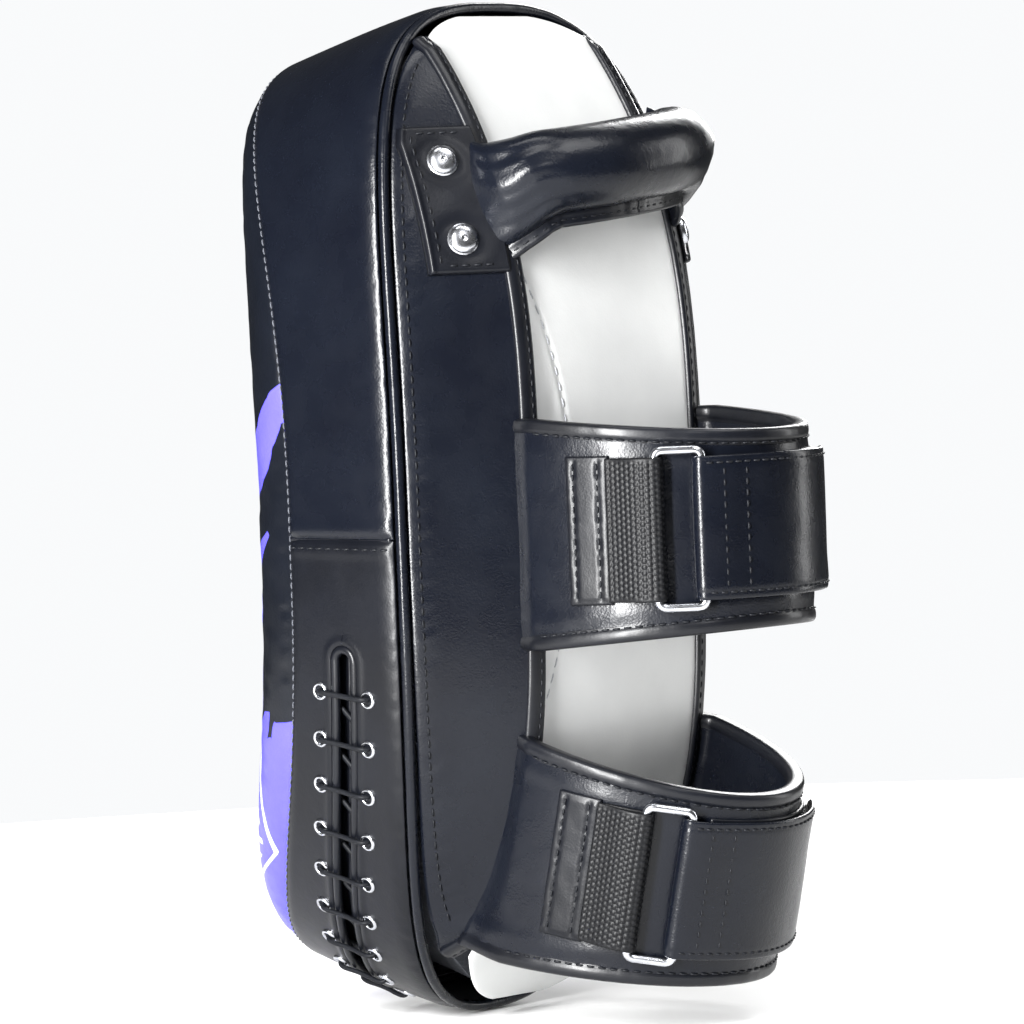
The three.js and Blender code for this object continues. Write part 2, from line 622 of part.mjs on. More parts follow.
function addHandle() {
  const end = HANDLE.halfLength;
  const core = evenSteps(-end + 1, end - 1, 12).map((x) => handleSection(x, HANDLE.core, 8));
  addPiece(pad, "handle_core", loft(core, "fan"), rope);
  const padXs = evenSteps(-end + 8, end - 8, 10);
  const padding = sleeve(padXs, () => HANDLE.padding, () => HANDLE.core + 0.9, 10);
  addPiece(pad, "handle_padding", padding, foam);
  const outer = (x) => {
    const nearEnd = clamp((Math.abs(x) - end + 12) / 12, 0, 1);
    return lerp(HANDLE.cover, HANDLE.endCover, nearEnd ** 2);
  };
  const inner = (x) => {
    const nearEnd = clamp((Math.abs(x) - end + 7.5) / 7.5, 0, 1);
    return lerp(HANDLE.padding + 0.8, HANDLE.core + 1.5, nearEnd);
  };
  const taper = [end - 12, end - 7.5, end - 4, end];
  const coverXs = [...taper.map((x) => -x).reverse(), ...evenSteps(-30, 30, 4), ...taper];
  addPiece(pad, "handle_cover", sleeve(coverXs, outer, inner, 14), glossBlack);
}

// ---- forearm straps ----
// The strap's middle surface in its own frame: straight legs, then half an ellipse.
// Angles run from 0 at the +X leg to 180 at the -X leg.
function strapCurve(angle) {
  const a = radians(angle);
  return new THREE.Vector2(STRAP.halfWidth * Math.cos(a), STRAP.leg + STRAP.rise * Math.sin(a));
}

function strapNormal(angle) {
  const a = radians(angle);
  return new THREE.Vector2(STRAP.rise * Math.cos(a), STRAP.halfWidth * Math.sin(a)).normalize();
}

const strapOffset = (angle, offset) => strapCurve(angle).addScaledVector(strapNormal(angle), offset);

function prism(outline, low, high) {
  const shape = new THREE.Shape(outline);
  return new THREE.ExtrudeGeometry(shape, { depth: high - low, bevelEnabled: false }).translate(0, 0, low);
}

function arcPrism(from, to, high, low, steps, halfHeight, z = 0) {
  const angles = evenSteps(from, to, steps);
  const highAt = (angle) => (typeof high === "function" ? high(angle) : high);
  const outer = angles.map((angle) => strapOffset(angle, highAt(angle)));
  const lowAt = (angle) => (typeof low === "function" ? low(angle) : low);
  const inner = angles.reverse().map((angle) => strapOffset(angle, lowAt(angle)));
  return prism([...outer, ...inner], z - halfHeight, z + halfHeight);
}

function addStrap({ name, z, y, tilt }) {
  const strap = new THREE.Group();
  strap.position.set(0, y, z);
  strap.rotation.x = radians(tilt);
  strap.updateMatrix();
  pad.add(strap);

  // How far down a leg goes, in the strap's frame, before it meets the pad.
  const legFoot = (x, height, clearance) => {
    let [low, high] = [-30, STRAP.leg + 20];
    for (let i = 0; i < 40; i++) {
      const middle = (low + high) / 2;
      const at = new THREE.Vector3(x, middle, height).applyMatrix4(strap.matrix);
      if (at.y < backY(at.x, at.z) + clearance) low = middle;
      else high = middle;
    }
    return high;
  };
  const arcAngles = evenSteps(0, 180, 20);
  const band = (heightsAt, thick, clearance) => {
    const layer = (offset, index) => {
      const leg = Math.min(index, arcAngles.length + 1 - index);
      const angle = arcAngles[clamp(index - 1, 0, arcAngles.length - 1)];
      const edge = lerp(STRAP.baseHalf, STRAP.peakHalf, Math.sin(radians(angle)));
      const p = strapOffset(angle, offset);
      return heightsAt(edge).map((height) => {
        if (leg === 0) return new THREE.Vector3(p.x, legFoot(p.x, height, clearance), height);
        return new THREE.Vector3(p.x, p.y, height);
      });
    };
    const rows = Array.from({ length: arcAngles.length + 2 }, (_, index) => {
      const outer = layer(thick / 2, index);
      return [...outer, ...layer(-thick / 2, index).reverse()];
    });
    return loft(rows);
  };
  const cuffHeights = (edge) => {
    const half = edge - STRAP.binding - GAP;
    return evenSteps(-half, half, 4);
  };
  addPiece(strap, `${name}_cuff`, band(cuffHeights, STRAP.thick, 2), glossBlack);
  const bindingThick = STRAP.thick + 1.4;
  const topHeights = (edge) => [edge - STRAP.binding, edge];
  addPiece(strap, `${name}_binding_top`, band(topHeights, bindingThick, 0.8), matteBlack);
  const bottomHeights = (edge) => [-edge, STRAP.binding - edge];
  addPiece(strap, `${name}_binding_bottom`, band(bottomHeights, bindingThick, 0.8), matteBlack);

  const face = STRAP.thick / 2 + GAP;
  const tab = arcPrism(RING_TAB.from, RING_TAB.to - 0.6, face + 1.6, face, 5, TAPE_HALF_HEIGHT + 1, RING.z);
  addPiece(strap, `${name}_ring_tab`, tab, glossBlack);

  const fixedBar = strapOffset(RING.fixedAngle, RING.offset);
  const freeBar = strapOffset(RING.freeAngle, RING.offset);
  addWebbing(strap, name, fixedBar, face);
  addRing(strap, name, fixedBar, freeBar);
  addTail(strap, name, freeBar, face);
}

// Half a turn of tape round a bar, as radius and thickness, opening towards the side given.
function turnRound(bar, normal, radius, startSide, steps) {
  const across = new THREE.Vector2(-normal.y, normal.x).multiplyScalar(startSide);
  return evenSteps(0, Math.PI, steps).map((turn) => bar.clone()
    .addScaledVector(normal, -radius * Math.cos(turn)).addScaledVector(across, radius * Math.sin(turn)));
}

function addWebbing(strap, name, bar, face) {
  const normal = strapNormal(RING.fixedAngle);
  const [inside, outside] = [RING.wire + GAP + 0.1, RING.wire + 1.6];
  const angles = evenSteps(RING_TAB.to, RING.fixedAngle - 2, 3);
  const top = (share) => lerp(face + 2.0, RING.offset + inside, share);
  const bottom = (share) => lerp(face + 0.9, RING.offset - inside, share);
  const share = (angle) => (angle - RING_TAB.to) / (RING.fixedAngle - 2 - RING_TAB.to);
  const outline = [
    ...angles.map((angle) => strapOffset(angle, lerp(face, RING.offset - outside, share(angle)))),
    ...turnRound(bar, normal, outside, 1, 6),
    ...[...angles].reverse().map((angle) => strapOffset(angle, top(share(angle)) + outside - inside)),
    ...angles.slice(1).map((angle) => strapOffset(angle, top(share(angle)))),
    ...turnRound(bar, normal, inside, 1, 6).reverse(),
    ...[...angles].slice(1).reverse().map((angle) => strapOffset(angle, bottom(share(angle)))),
  ];
  const tape = prism(outline, RING.z - TAPE_HALF_HEIGHT, RING.z + TAPE_HALF_HEIGHT);
  addPiece(strap, `${name}_ring_webbing`, tape, webbing);
}

function addRing(strap, name, fixedBar, freeBar) {
  const across = freeBar.clone().sub(fixedBar);
  const normal = new THREE.Vector3(across.y, -across.x, 0).normalize();
  const corner = (bar, height) => new THREE.Vector3(bar.x, bar.y, height);
  const [low, high] = [RING.z - RING.halfHeight, RING.z + RING.halfHeight];
  const corners = [
    corner(fixedBar, low), corner(freeBar, low), corner(freeBar, high), corner(fixedBar, high),
  ];
  const bend = 3.5;
  const path = corners.flatMap((point, i) => {
    const before = corners[(i + 3) % 4].clone().sub(point).normalize();
    const after = corners[(i + 1) % 4].clone().sub(point).normalize();
    const start = point.clone().addScaledVector(before, bend);
    const end = point.clone().addScaledVector(after, bend);
    const middle = start.clone().add(end).multiplyScalar(0.5).lerp(point, 0.4);
    return [start, middle, end];
  });
  const sections = path.map((point, i) => {
    const tangent = path[(i + 1) % 12].clone().sub(path[(i + 11) % 12]).normalize();
    const side = tangent.clone().cross(normal);
    return evenSteps(0, 2 * Math.PI, 6).slice(0, -1).map((turn) => point.clone()
      .addScaledVector(side, RING.wire * Math.cos(turn))
      .addScaledVector(normal, RING.wire * Math.sin(turn)));
  });
  addPiece(strap, `${name}_ring`, loft(sections, "loop"), chrome);
}

function addTail(strap, name, bar, face) {
  const baseHigh = face + 1.6;
  const base = arcPrism(TAIL_BASE.from, TAIL_BASE.to, baseHigh, face, 16, TAPE_HALF_HEIGHT, RING.z);
  addPiece(strap, `${name}_tail_base`, base, glossBlack);
  const loopHigh = baseHigh + GAP + 0.8;
  const patchHalf = TAPE_HALF_HEIGHT - 3;
  const loops = arcPrism(LOOP_PATCH.from, LOOP_PATCH.to, loopHigh, baseHigh + GAP, 13, patchHalf, RING.z);
  addPiece(strap, `${name}_loop_patch`, loops, webbing);
  const hookLow = loopHigh + GAP;
  const hookHigh = hookLow + 0.7;
  const hooks = arcPrism(HOOK_PATCH.from, HOOK_PATCH.to, hookHigh, hookLow, 9, patchHalf, RING.z);
  addPiece(strap, `${name}_hook_patch`, hooks, webbing);

  const normal = strapNormal(RING.freeAngle);
  const [inside, outside] = [RING.wire + GAP + 0.1, RING.wire + 1.9];
  const thick = outside - inside;
  const settle = HOOK_PATCH.from - 3;
  const low = (angle) => {
    const share = clamp((angle - RING.freeAngle) / (settle - RING.freeAngle), 0, 1);
    return lerp(RING.offset + inside, hookHigh + GAP, share * share * (3 - 2 * share));
  };
  const angles = [...evenSteps(RING.freeAngle + 2, settle, 5), ...evenSteps(settle + 6, FLAP_END, 8)];
  const outline = [
    ...turnRound(bar, normal, outside, -1, 6),
    ...angles.map((angle) => strapOffset(angle, low(angle) + thick)),
    ...[...angles].reverse().map((angle) => strapOffset(angle, low(angle))),
    ...turnRound(bar, normal, inside, -1, 6).reverse(),
  ];
  const flap = prism(outline, RING.z - TAPE_HALF_HEIGHT, RING.z + TAPE_HALF_HEIGHT);
  addPiece(strap, `${name}_flap`, flap, glossBlack);
}

addBody();
addBackPanels();
addGusset();
addHandle();
addStrap(UPPER_STRAP);
addStrap(LOWER_STRAP);

export default pad;
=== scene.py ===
"""Looks of the thai pad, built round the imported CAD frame.

Shapes are worked out in millimetres, in the CAD's own axes: +Z along the pad, -Y the struck
side, +Y the forearm side. MM turns them into Blender's metres.
"""

import math
from types import SimpleNamespace as Sizes

import bmesh
import bpy
import numpy as np
from mathutils import Matrix, Vector


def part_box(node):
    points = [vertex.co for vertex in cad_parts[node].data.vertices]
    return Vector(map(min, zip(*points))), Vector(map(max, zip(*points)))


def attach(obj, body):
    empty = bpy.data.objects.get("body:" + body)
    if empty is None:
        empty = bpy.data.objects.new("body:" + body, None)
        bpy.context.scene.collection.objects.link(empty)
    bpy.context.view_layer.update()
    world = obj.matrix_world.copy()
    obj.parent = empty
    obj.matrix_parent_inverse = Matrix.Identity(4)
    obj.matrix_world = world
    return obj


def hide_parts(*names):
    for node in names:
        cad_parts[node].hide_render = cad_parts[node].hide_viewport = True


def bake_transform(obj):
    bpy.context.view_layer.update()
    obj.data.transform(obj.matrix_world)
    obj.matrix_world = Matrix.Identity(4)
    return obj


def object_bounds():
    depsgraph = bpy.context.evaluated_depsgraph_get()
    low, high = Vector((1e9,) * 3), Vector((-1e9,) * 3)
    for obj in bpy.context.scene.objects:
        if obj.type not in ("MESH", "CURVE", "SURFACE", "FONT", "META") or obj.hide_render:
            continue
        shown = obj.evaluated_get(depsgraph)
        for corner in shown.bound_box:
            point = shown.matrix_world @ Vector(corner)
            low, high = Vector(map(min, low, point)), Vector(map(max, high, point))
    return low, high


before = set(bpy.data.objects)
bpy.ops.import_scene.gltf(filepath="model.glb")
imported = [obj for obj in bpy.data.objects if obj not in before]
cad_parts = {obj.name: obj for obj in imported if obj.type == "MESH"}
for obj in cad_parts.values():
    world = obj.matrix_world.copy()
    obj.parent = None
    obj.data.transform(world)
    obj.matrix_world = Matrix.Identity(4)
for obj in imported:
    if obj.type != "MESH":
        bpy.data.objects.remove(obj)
cad_low, cad_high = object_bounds()

MM = 0.001
TAU = 2 * math.pi
SIDES = (("right", 1), ("left", -1))

# ---- camera: the angle that shows the forearm side and the +X side ----
CAMERA = Sizes(azimuth=130.06, elevation=2.5, roll=-2.28, distance=2.5, lens=225,
               shift=(0.0127, -0.0037))
CAMERA_TARGET = Vector((0, -0.0585, 0))  # middle of the body's depth

# ---- driving dimensions, millimetres ----
PIPING_RADIUS = 2.2
HALF_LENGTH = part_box("back_piping")[1].z / MM - PIPING_RADIUS
HALF_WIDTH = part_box("back_piping")[1].x / MM - PIPING_RADIUS
# each end is (half length, power across, power along, drop towards the struck side)
BACK_SEAM = Sizes(top=(HALF_LENGTH, 2.78, 3.94, 22.8), bottom=(HALF_LENGTH, 2.34, 2.45, 42.1),
                  y=-30.75, bend=2.67)
FRONT_SEAM = Sizes(top=(HALF_LENGTH - 20, 2.6, 3.5, 49),
                   bottom=(HALF_LENGTH - 21, 2.34, 2.45, 61.5), y=-86.25, bend=2.6)
SIDE_SEAM_Z = -6.5
CROWN = Sizes(height=33, reach=60, power=4.5, top=(0.75, 1.8), bottom=(0.6, 4))  # ends: fade, power
EDGE_HOLD = 6  # power that keeps the face's curve until close to its seam
EDGE_ROLL = 8.5  # radius of the side's roll at the back seam
FOREARM_FLAT = 25  # half height of the forearm side's straight middle
FOREARM_TOP = (54.5, 2.75)  # drop, power
FOREARM_BOTTOM = (63, 2.8)
RAIL_X = 49.8
RAIL_HALF = 3.9
SLOPE_INNER = RAIL_X + 0.5
SLOT = Sizes(top=-46.5, half=6.5)
EYELET = Sizes(rows=19, top=-65.5, spread=12, hole=2.2, radius=3.6)
TAB = Sizes(inner=RAIL_X + 2, outer=77, low=92, high=148, sewn=3.2)
RIVET_SPOTS = {"upper": (64.5, 134.5), "lower": (64.5, 105)}
STRAP = Sizes(base=44, peak=37.5, half_width=56, rise=72, leg=7, thick=5)
STRAPS = {"upper": Sizes(y=0, z=-7, tilt=0, seed=0), "lower": Sizes(y=-15, z=-126, tilt=-13.5, seed=10)}
RING = Sizes(fixed=41, free=55.5, offset=6.9, wire=1.7, half_height=29.5, z=1.5)
TAPE_HALF = 27
HANDLE = Sizes(half=50, z=133.5, tilt=5, mid=13, end=-4, bow=2.6)
STITCH_PITCH, STITCH_LENGTH = 4.4, 3.3


# ---- numbers ----
def clamp(t):
    return np.clip(t, 0, 1)


def smooth(t):
    t = clamp(t)
    return t * t * (3 - 2 * t)


def bell(t):
    return np.exp(-t ** 2)


def mix(a, b, t):
    return a + (b - a) * t


def signed_power(t, power):
    return np.sign(t) * np.abs(t) ** power


def unit(v):
    return v / np.maximum(np.linalg.norm(v, axis=-1, keepdims=True), 1e-9)


def turns(count):
    """Angles once round."""
    return np.linspace(0, TAU, count, endpoint=False)


def run_along(path):
    """The distance along a path at each of its points."""
    return np.concatenate([[0], np.cumsum(np.linalg.norm(np.diff(path, axis=0), axis=1))])


def sampled(where, at, table):
    return np.stack([np.interp(where, at, table[:, k]) for k in range(table.shape[1])], -1)


def ripple(t, seed=0):
    """Smooth noise from -1 to 1 along t, one bump to a unit."""
    table = np.random.default_rng(seed).uniform(-1, 1, 512)
    t = np.asarray(t, float)
    whole = np.floor(t).astype(int)
    return mix(table[whole % 512], table[(whole + 1) % 512], smooth(t - whole))


def crease(u, v, seed=0):
    """Smooth noise from -1 to 1 over a surface, one bump to a unit each way."""
    table = np.random.default_rng(seed).uniform(-1, 1, (64, 64))
    u, v = np.broadcast_arrays(np.asarray(u, float), np.asarray(v, float))
    iu, iv = np.floor(u).astype(int), np.floor(v).astype(int)
    a, b, c, d = iu % 64, (iu + 1) % 64, iv % 64, (iv + 1) % 64
    share = smooth(u - iu)
    return mix(mix(table[a, c], table[b, c], share), mix(table[a, d], table[b, d], share), smooth(v - iv))


def fillet(distance, radius):
    """Height share of a rounded edge, from 0 at the edge to 1 past the radius."""
    return np.sqrt(1 - (1 - clamp(distance / radius)) ** 2)


# ---- the pad's surfaces, the same formulas as the CAD's ----
def by_end(z, top, bottom):
    """Each of the top's numbers above the middle, and of the bottom's below it."""
    return [np.where(z >= 0, a, b) for a, b in zip(top, bottom)]


def seam_y(seam, z):
    half, _, _, drop = by_end(z, seam.top, seam.bottom)
    return seam.y - drop * np.minimum(np.abs(z) / half, 1) ** seam.bend


def seam_point(seam, angle):
    c, s = np.cos(angle), np.sin(angle)
    half, power_x, power_z, _ = by_end(s, seam.top, seam.bottom)
    x = HALF_WIDTH * signed_power(c, 2 / power_x)
    z = half * signed_power(s, 2 / power_z)
    return np.stack([x, seam_y(seam, z), z], -1)


def seam_way(seam, angle, step=1e-3):
    return seam_point(seam, angle + step) - seam_point(seam, angle - step)


def outline_half(z, inset=0.0):
    half, power_x, power_z, _ = by_end(z, BACK_SEAM.top, BACK_SEAM.bottom)
    share = 1 - np.minimum(np.abs(z) / (half - inset), 1) ** power_z
    return (HALF_WIDTH - inset) * share ** (1 / power_x)


def outline_stretch(z, most, step=0.4):
    """A step in from the outline, measured across the pad: longer where the outline slopes."""
    slope = (outline_half(z + step) - outline_half(z - step)) / (2 * step)
    return np.sqrt(1 + np.minimum(slope ** 2, most))


def outline_table():
    """Length round the body, in mm from the bottom middle and up the +X side, to angle."""
    turn = np.linspace(0, TAU, 24001)
    angle = turn - math.pi / 2 - 0.49 * np.sin(2 * (turn - math.pi / 2))
    middle = (seam_point(BACK_SEAM, angle) + seam_point(FRONT_SEAM, angle)) / 2
    return run_along(middle), angle, middle[:, 2]


LENGTHS, ANGLES, HEIGHTS = outline_table()
AROUND = LENGTHS[-1]


def angle_at(length):
    length = np.asarray(length, float)
    whole = np.floor(length / AROUND)
    return np.interp(length - whole * AROUND, LENGTHS, ANGLES) + whole * TAU


def length_at_z(z):
    """Length from the bottom middle, up the +X side, to a height."""
    half = len(HEIGHTS) // 2
    return float(np.interp(z, HEIGHTS[:half], LENGTHS[:half]))


SIDE_SEAM = length_at_z(SIDE_SEAM_Z)
SIDE_SEAMS = (SIDE_SEAM, AROUND - SIDE_SEAM)
SLOT_LENGTH = length_at_z(SLOT.top)
EYELET_LENGTH = length_at_z(EYELET.top)


def side_surface(length, share):
    """The side at a length round the body and a share from front seam to back seam."""
    angle = angle_at(length)
    share = np.broadcast_to(share, np.broadcast(angle, share).shape)
    front, back = seam_point(FRONT_SEAM, angle), seam_point(BACK_SEAM, angle)
    across = back - front
    normal = unit(np.cross(across, seam_way(BACK_SEAM, angle)))
    outward = np.sign(normal[..., 0] * front[..., 0] + normal[..., 2] * front[..., 2])
    normal = normal * np.where(outward == 0, 1, outward)[..., None]
    return front + across * share[..., None], normal, np.linalg.norm(across, axis=-1)


def side_width(length):
    return side_surface(length, 0.5)[2]


def side_relief(length, share, width):
    """How far the side's leather stands off the flat between its seams."""
    to_front, to_back = share * width, (1 - share) * width - 1.6
    roll = np.minimum(fillet(to_front, 6.0), fillet(to_back, EDGE_ROLL))
    relief = 3.3 * roll + 0.7 * np.sin(math.pi * clamp(share))
    pucker = bell((to_back - 3.2) / 2.4) * ripple(length / 3.6, 3) * 0.16
    relief = relief + pucker + 0.12 * crease(length / 31, share * 3, 5)
    for seam in SIDE_SEAMS:
        gap = np.abs(length - seam)
        fade = smooth(to_front / 4) * smooth(to_back / 4)
        relief = relief - 1.1 * bell(gap / 1.5) * fade + 0.35 * bell((gap - 4.5) / 2.6) * fade
    return relief


def side_point(length, share, lift=0.0):
    point, normal, width = side_surface(length, share)
    offset = side_relief(length, share, width) + lift
    return point + normal * np.asarray(offset)[..., None]


def forearm_y(z):
    drop, power = by_end(z, FOREARM_TOP, FOREARM_BOTTOM)
    run = np.maximum(0, np.abs(z) - FOREARM_FLAT) / (HALF_LENGTH - FOREARM_FLAT)
    return -drop * np.minimum(run, 1) ** power


def back_y(x, z):
    width = outline_half(z)
    climb = clamp((width - np.abs(x)) / np.maximum(width - RAIL_X, 10))
    return mix(seam_y(BACK_SEAM, z), forearm_y(z), climb)


def back_frame(x, z, step=0.5):
    """Point and outward normal on the forearm side."""
    slope_x = (back_y(x + step, z) - back_y(x - step, z)) / (2 * step)
    slope_z = (back_y(x, z + step) - back_y(x, z - step)) / (2 * step)
    normal = unit(np.stack([-slope_x, np.ones_like(slope_x), -slope_z], -1))
    return np.stack([x, back_y(x, z), z], -1), normal


def strike_surface(angle, ring):
    """The struck face at an angle and a ring from 0 in the middle to 1 at the front seam."""
    edge = seam_point(FRONT_SEAM, angle)
    way = seam_way(FRONT_SEAM, angle)
    support = np.abs(edge[..., 0] * way[..., 2] - edge[..., 2] * way[..., 0])
    inside = (1 - ring) * (support / np.hypot(way[..., 0], way[..., 2]))
    x, z = edge[..., 0] * ring, edge[..., 2] * ring
    base = mix(seam_y(FRONT_SEAM, z), edge[..., 1], ring ** EDGE_HOLD) - 0.6
    reach = np.minimum(np.abs(z) / by_end(z, FRONT_SEAM.top, FRONT_SEAM.bottom)[0], 1)
    fade, power = by_end(z, CROWN.top, CROWN.bottom)
    swell = np.sqrt(1 - (1 - clamp(inside / CROWN.reach)) ** CROWN.power)
    rise = CROWN.height * (1 - fade * reach ** power) * swell
    return np.stack([x, base - rise, z], -1), rise


def piece(name, shape, material, node=None, body="root", weld=0.0, thick=0.0):
    points, faces = shape
    mesh = bpy.data.meshes.new(name)
    mesh.from_pydata((np.asarray(points) * MM).tolist(), [], faces)
    work = bmesh.new()
    work.from_mesh(mesh)
    if weld:
        bmesh.ops.remove_doubles(work, verts=work.verts, dist=weld * MM)
    bmesh.ops.recalc_face_normals(work, faces=work.faces)
    work.to_mesh(mesh)
    work.free()
    mesh.polygons.foreach_set("use_smooth", [True] * len(mesh.polygons))
    mesh.materials.append(material)
    made = bpy.data.objects.new(name, mesh)
    bpy.context.scene.collection.objects.link(made)
    if thick:
        shell = made.modifiers.new("thickness", "SOLIDIFY")
        shell.thickness = thick * MM
        shell.offset = -1
    if body:
        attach(made, body)
    if node:
        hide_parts(node)
    return made


def grid(points, closed_rows=False, closed_columns=False):
    rows, columns = points.shape[:2]
    index = np.arange(rows * columns).reshape(rows, columns)
    if closed_rows:
        index = np.vstack([index, index[:1]])
    if closed_columns:
        index = np.hstack([index, index[:, :1]])
    quads = np.stack([index[:-1, :-1], index[1:, :-1], index[1:, 1:], index[:-1, 1:]], -1)
    return points.reshape(-1, 3), quads.reshape(-1, 4).tolist()


def joined(parts):
    """Several (points, faces) as one."""
    points, faces, start = [], [], 0
    for some, corners in parts:
        points.append(some)
        faces += [[i + start for i in face] for face in corners]
        start += len(some)
    return np.vstack(points), faces


def capped(points):
    """A closed-section loft with flat fans at both ends."""
    flat, faces = grid(points, closed_columns=True)
    columns = points.shape[1]
    flat = np.vstack([flat, points[0].mean(0), points[-1].mean(0)])
    a, b, start = len(flat) - 2, len(flat) - 1, (points.shape[0] - 1) * columns
    for i in range(columns):
        j = (i + 1) % columns
        faces += [[a, j, i], [b, start + i, start + j]]
    return flat, faces


def tangents_of(path, closed=False):
    if closed:
        return unit(np.roll(path, -1, 0) - np.roll(path, 1, 0))
    return unit(np.gradient(path, axis=0))


def tube(path, radius, sides=12, closed=False, normals=None, flat=1.0):
    """A round bar along a path; flat squeezes it along the normals."""
    tangents = tangents_of(path, closed)
    if normals is None:
        normals = np.tile([0.0, 1.0, 0.0], (len(path), 1))
    side = unit(np.cross(normals, tangents))
    up = np.cross(tangents, side)
    turn = turns(sides)
    radius = np.broadcast_to(radius, len(path))[:, None, None]
    ring = side[:, None] * np.cos(turn)[:, None] + up[:, None] * (flat * np.sin(turn))[:, None]
    points = path[:, None] + ring * radius
    if closed:
        return grid(points, closed_rows=True, closed_columns=True)
    return capped(points)


STITCH_STEPS = np.array([-1, -0.82, -0.35, 0.35, 0.82, 1])  # along one stitch, from its middle
STITCH_LIFTS = np.array([-1.9, -0.6, 0.25, 0.25, -0.6, -1.9])[:, None]
STITCH_SIZES = np.array([0.5, 0.9, 1, 1, 0.9, 0.5])[:, None, None]


def stitch_run(path, normals, pitch=STITCH_PITCH, lift=0.25, radius=0.42):
    """A row of sewn stitches along a path on a surface."""
    at = run_along(path)
    count = max(int(at[-1] / pitch), 1)
    tangents = tangents_of(path)
    half = STITCH_LENGTH / 2 * pitch / STITCH_PITCH
    turn = turns(6)
    parts = []
    for middle in (np.arange(count) + 0.5) * at[-1] / count:
        where = middle + half * STITCH_STEPS
        normal = unit(sampled(where, at, normals))
        across = unit(np.cross(normal, sampled(where, at, tangents)))
        line = sampled(where, at, path) + normal * (lift + radius * STITCH_LIFTS)
        ring = across[:, None] * np.cos(turn)[:, None] + normal[:, None] * np.sin(turn)[:, None]
        parts.append(capped(line[:, None] + ring * (radius * STITCH_SIZES)))
    return joined(parts)


def flared_ring(spots, normals, profile, sides=20):
    """A turned fitting at each spot, from its profile of radius and height."""
    parts = []
    turn = turns(sides)
    for spot, normal in zip(spots, normals):
        side = unit(np.cross(normal, [0.0, 1.0, 0.02]))
        up = np.cross(side, normal)
        spokes = side * np.cos(turn)[:, None] + up * np.sin(turn)[:, None]
        ring = [spot + spokes * r + normal * h for r, h in profile]
        parts.append(grid(np.stack(ring), closed_rows=True, closed_columns=True))
    return joined(parts)


def band_section(half_thick, flat_steps):
    """Rows round a flat band with rounded edges, outer face first: offset, share of the flat's
    half height, height past it, crown, and 1 on the outer face."""
    share = np.linspace(-1, 1, flat_steps)
    turn = np.linspace(math.pi / 2, -math.pi / 2, 7)[1:-1]
    blank, none = np.ones_like(share), np.zeros_like(share)
    outer = np.stack([half_thick * blank, share, none, 1 - share ** 4, blank], -1)
    edge = 0 * turn
    top = np.stack([half_thick * np.sin(turn), edge + 1, half_thick * np.cos(turn), edge, edge], -1)
    flip = (-1, -1, -1, 0, 0)
    return np.vstack([outer, top, outer * flip, top * flip])


# ---- materials ----
def linear(code):
    """A #rrggbb colour as linear RGBA."""
    values = [int(code[i:i + 2], 16) / 255 for i in (1, 3, 5)]
    return (*[v / 12.92 if v < 0.04045 else ((v + 0.055) / 1.055) ** 2.4 for v in values], 1)


class Paint:
    """A material's node tree, built by short calls."""

    def __init__(self, name, roughness, metallic=0.0, coat=0.0, sheen=0.0, specular=0.5):
        self.material = bpy.data.materials.new(name)
        self.material.use_nodes = True
        self.tree = self.material.node_tree
        self.shader = self.tree.nodes["Principled BSDF"]
        self.place = self.node("ShaderNodeTexCoord").outputs["Object"]
        self.set(Roughness=roughness, Metallic=metallic, Coat_Weight=coat, Coat_Roughness=0.2,
                 Sheen_Weight=sheen, Specular_IOR_Level=specular)

    def node(self, kind, links=(), **settings):
        made = self.tree.nodes.new(kind)
        for key, value in settings.items():
            if key in made.bl_rna.properties:
                setattr(made, key, value)
            else:
                made.inputs[key.replace("_", " ")].default_value = value
        for key, source in dict(links).items():
            self.tree.links.new(source, made.inputs[key])
        return made

    def plug(self, socket, value):
        if isinstance(value, bpy.types.NodeSocket):
            self.tree.links.new(value, socket)
        else:
            socket.default_value = value

    def set(self, **values):
        for key, value in values.items():
            self.plug(self.shader.inputs[key.replace("_", " ")], value)

    def noise(self, scale, detail=3.0, **more):
        return self.node("ShaderNodeTexNoise", {"Vector": self.place}, Scale=scale, Detail=detail,
                         **more).outputs["Fac"]

    def cells(self, scale):
        return self.node("ShaderNodeTexVoronoi", {"Vector": self.place}, Scale=scale).outputs["Distance"]

    def ranged(self, source, low, high, start=0.0, end=1.0):
        return self.node("ShaderNodeMapRange", {0: source}, From_Min=start, From_Max=end, To_Min=low,
                         To_Max=high).outputs[0]

    def mixed(self, share, a, b):
        made = self.node("ShaderNodeMix", data_type="RGBA")
        self.tree.links.new(share, made.inputs["Factor"])
        self.plug(made.inputs[6], a)
        self.plug(made.inputs[7], b)
        return made.outputs[2]

    def tinted(self, share, colour, light):
        return self.mixed(share, linear(colour), linear(light))

    def bumps(self, *layers):
        """Layers of (height, millimetres of relief), the coarsest first."""
        normal = None
        for height, depth in layers:
            links = {"Height": height} | ({"Normal": normal} if normal else {})
            normal = self.node("ShaderNodeBump", links, Strength=1.0, Distance=depth * MM).outputs[0]
        self.set(Normal=normal)

    def edge_highlight(self, colour, light):
        """Colour lightened along sharp edges: a painted highlight where the edges catch the light."""
        edge = self.node("ShaderNodeNewGeometry").outputs["Pointiness"]
        return self.mixed(self.ranged(edge, 0.0, 0.55, 0.53, 0.6), colour, light)


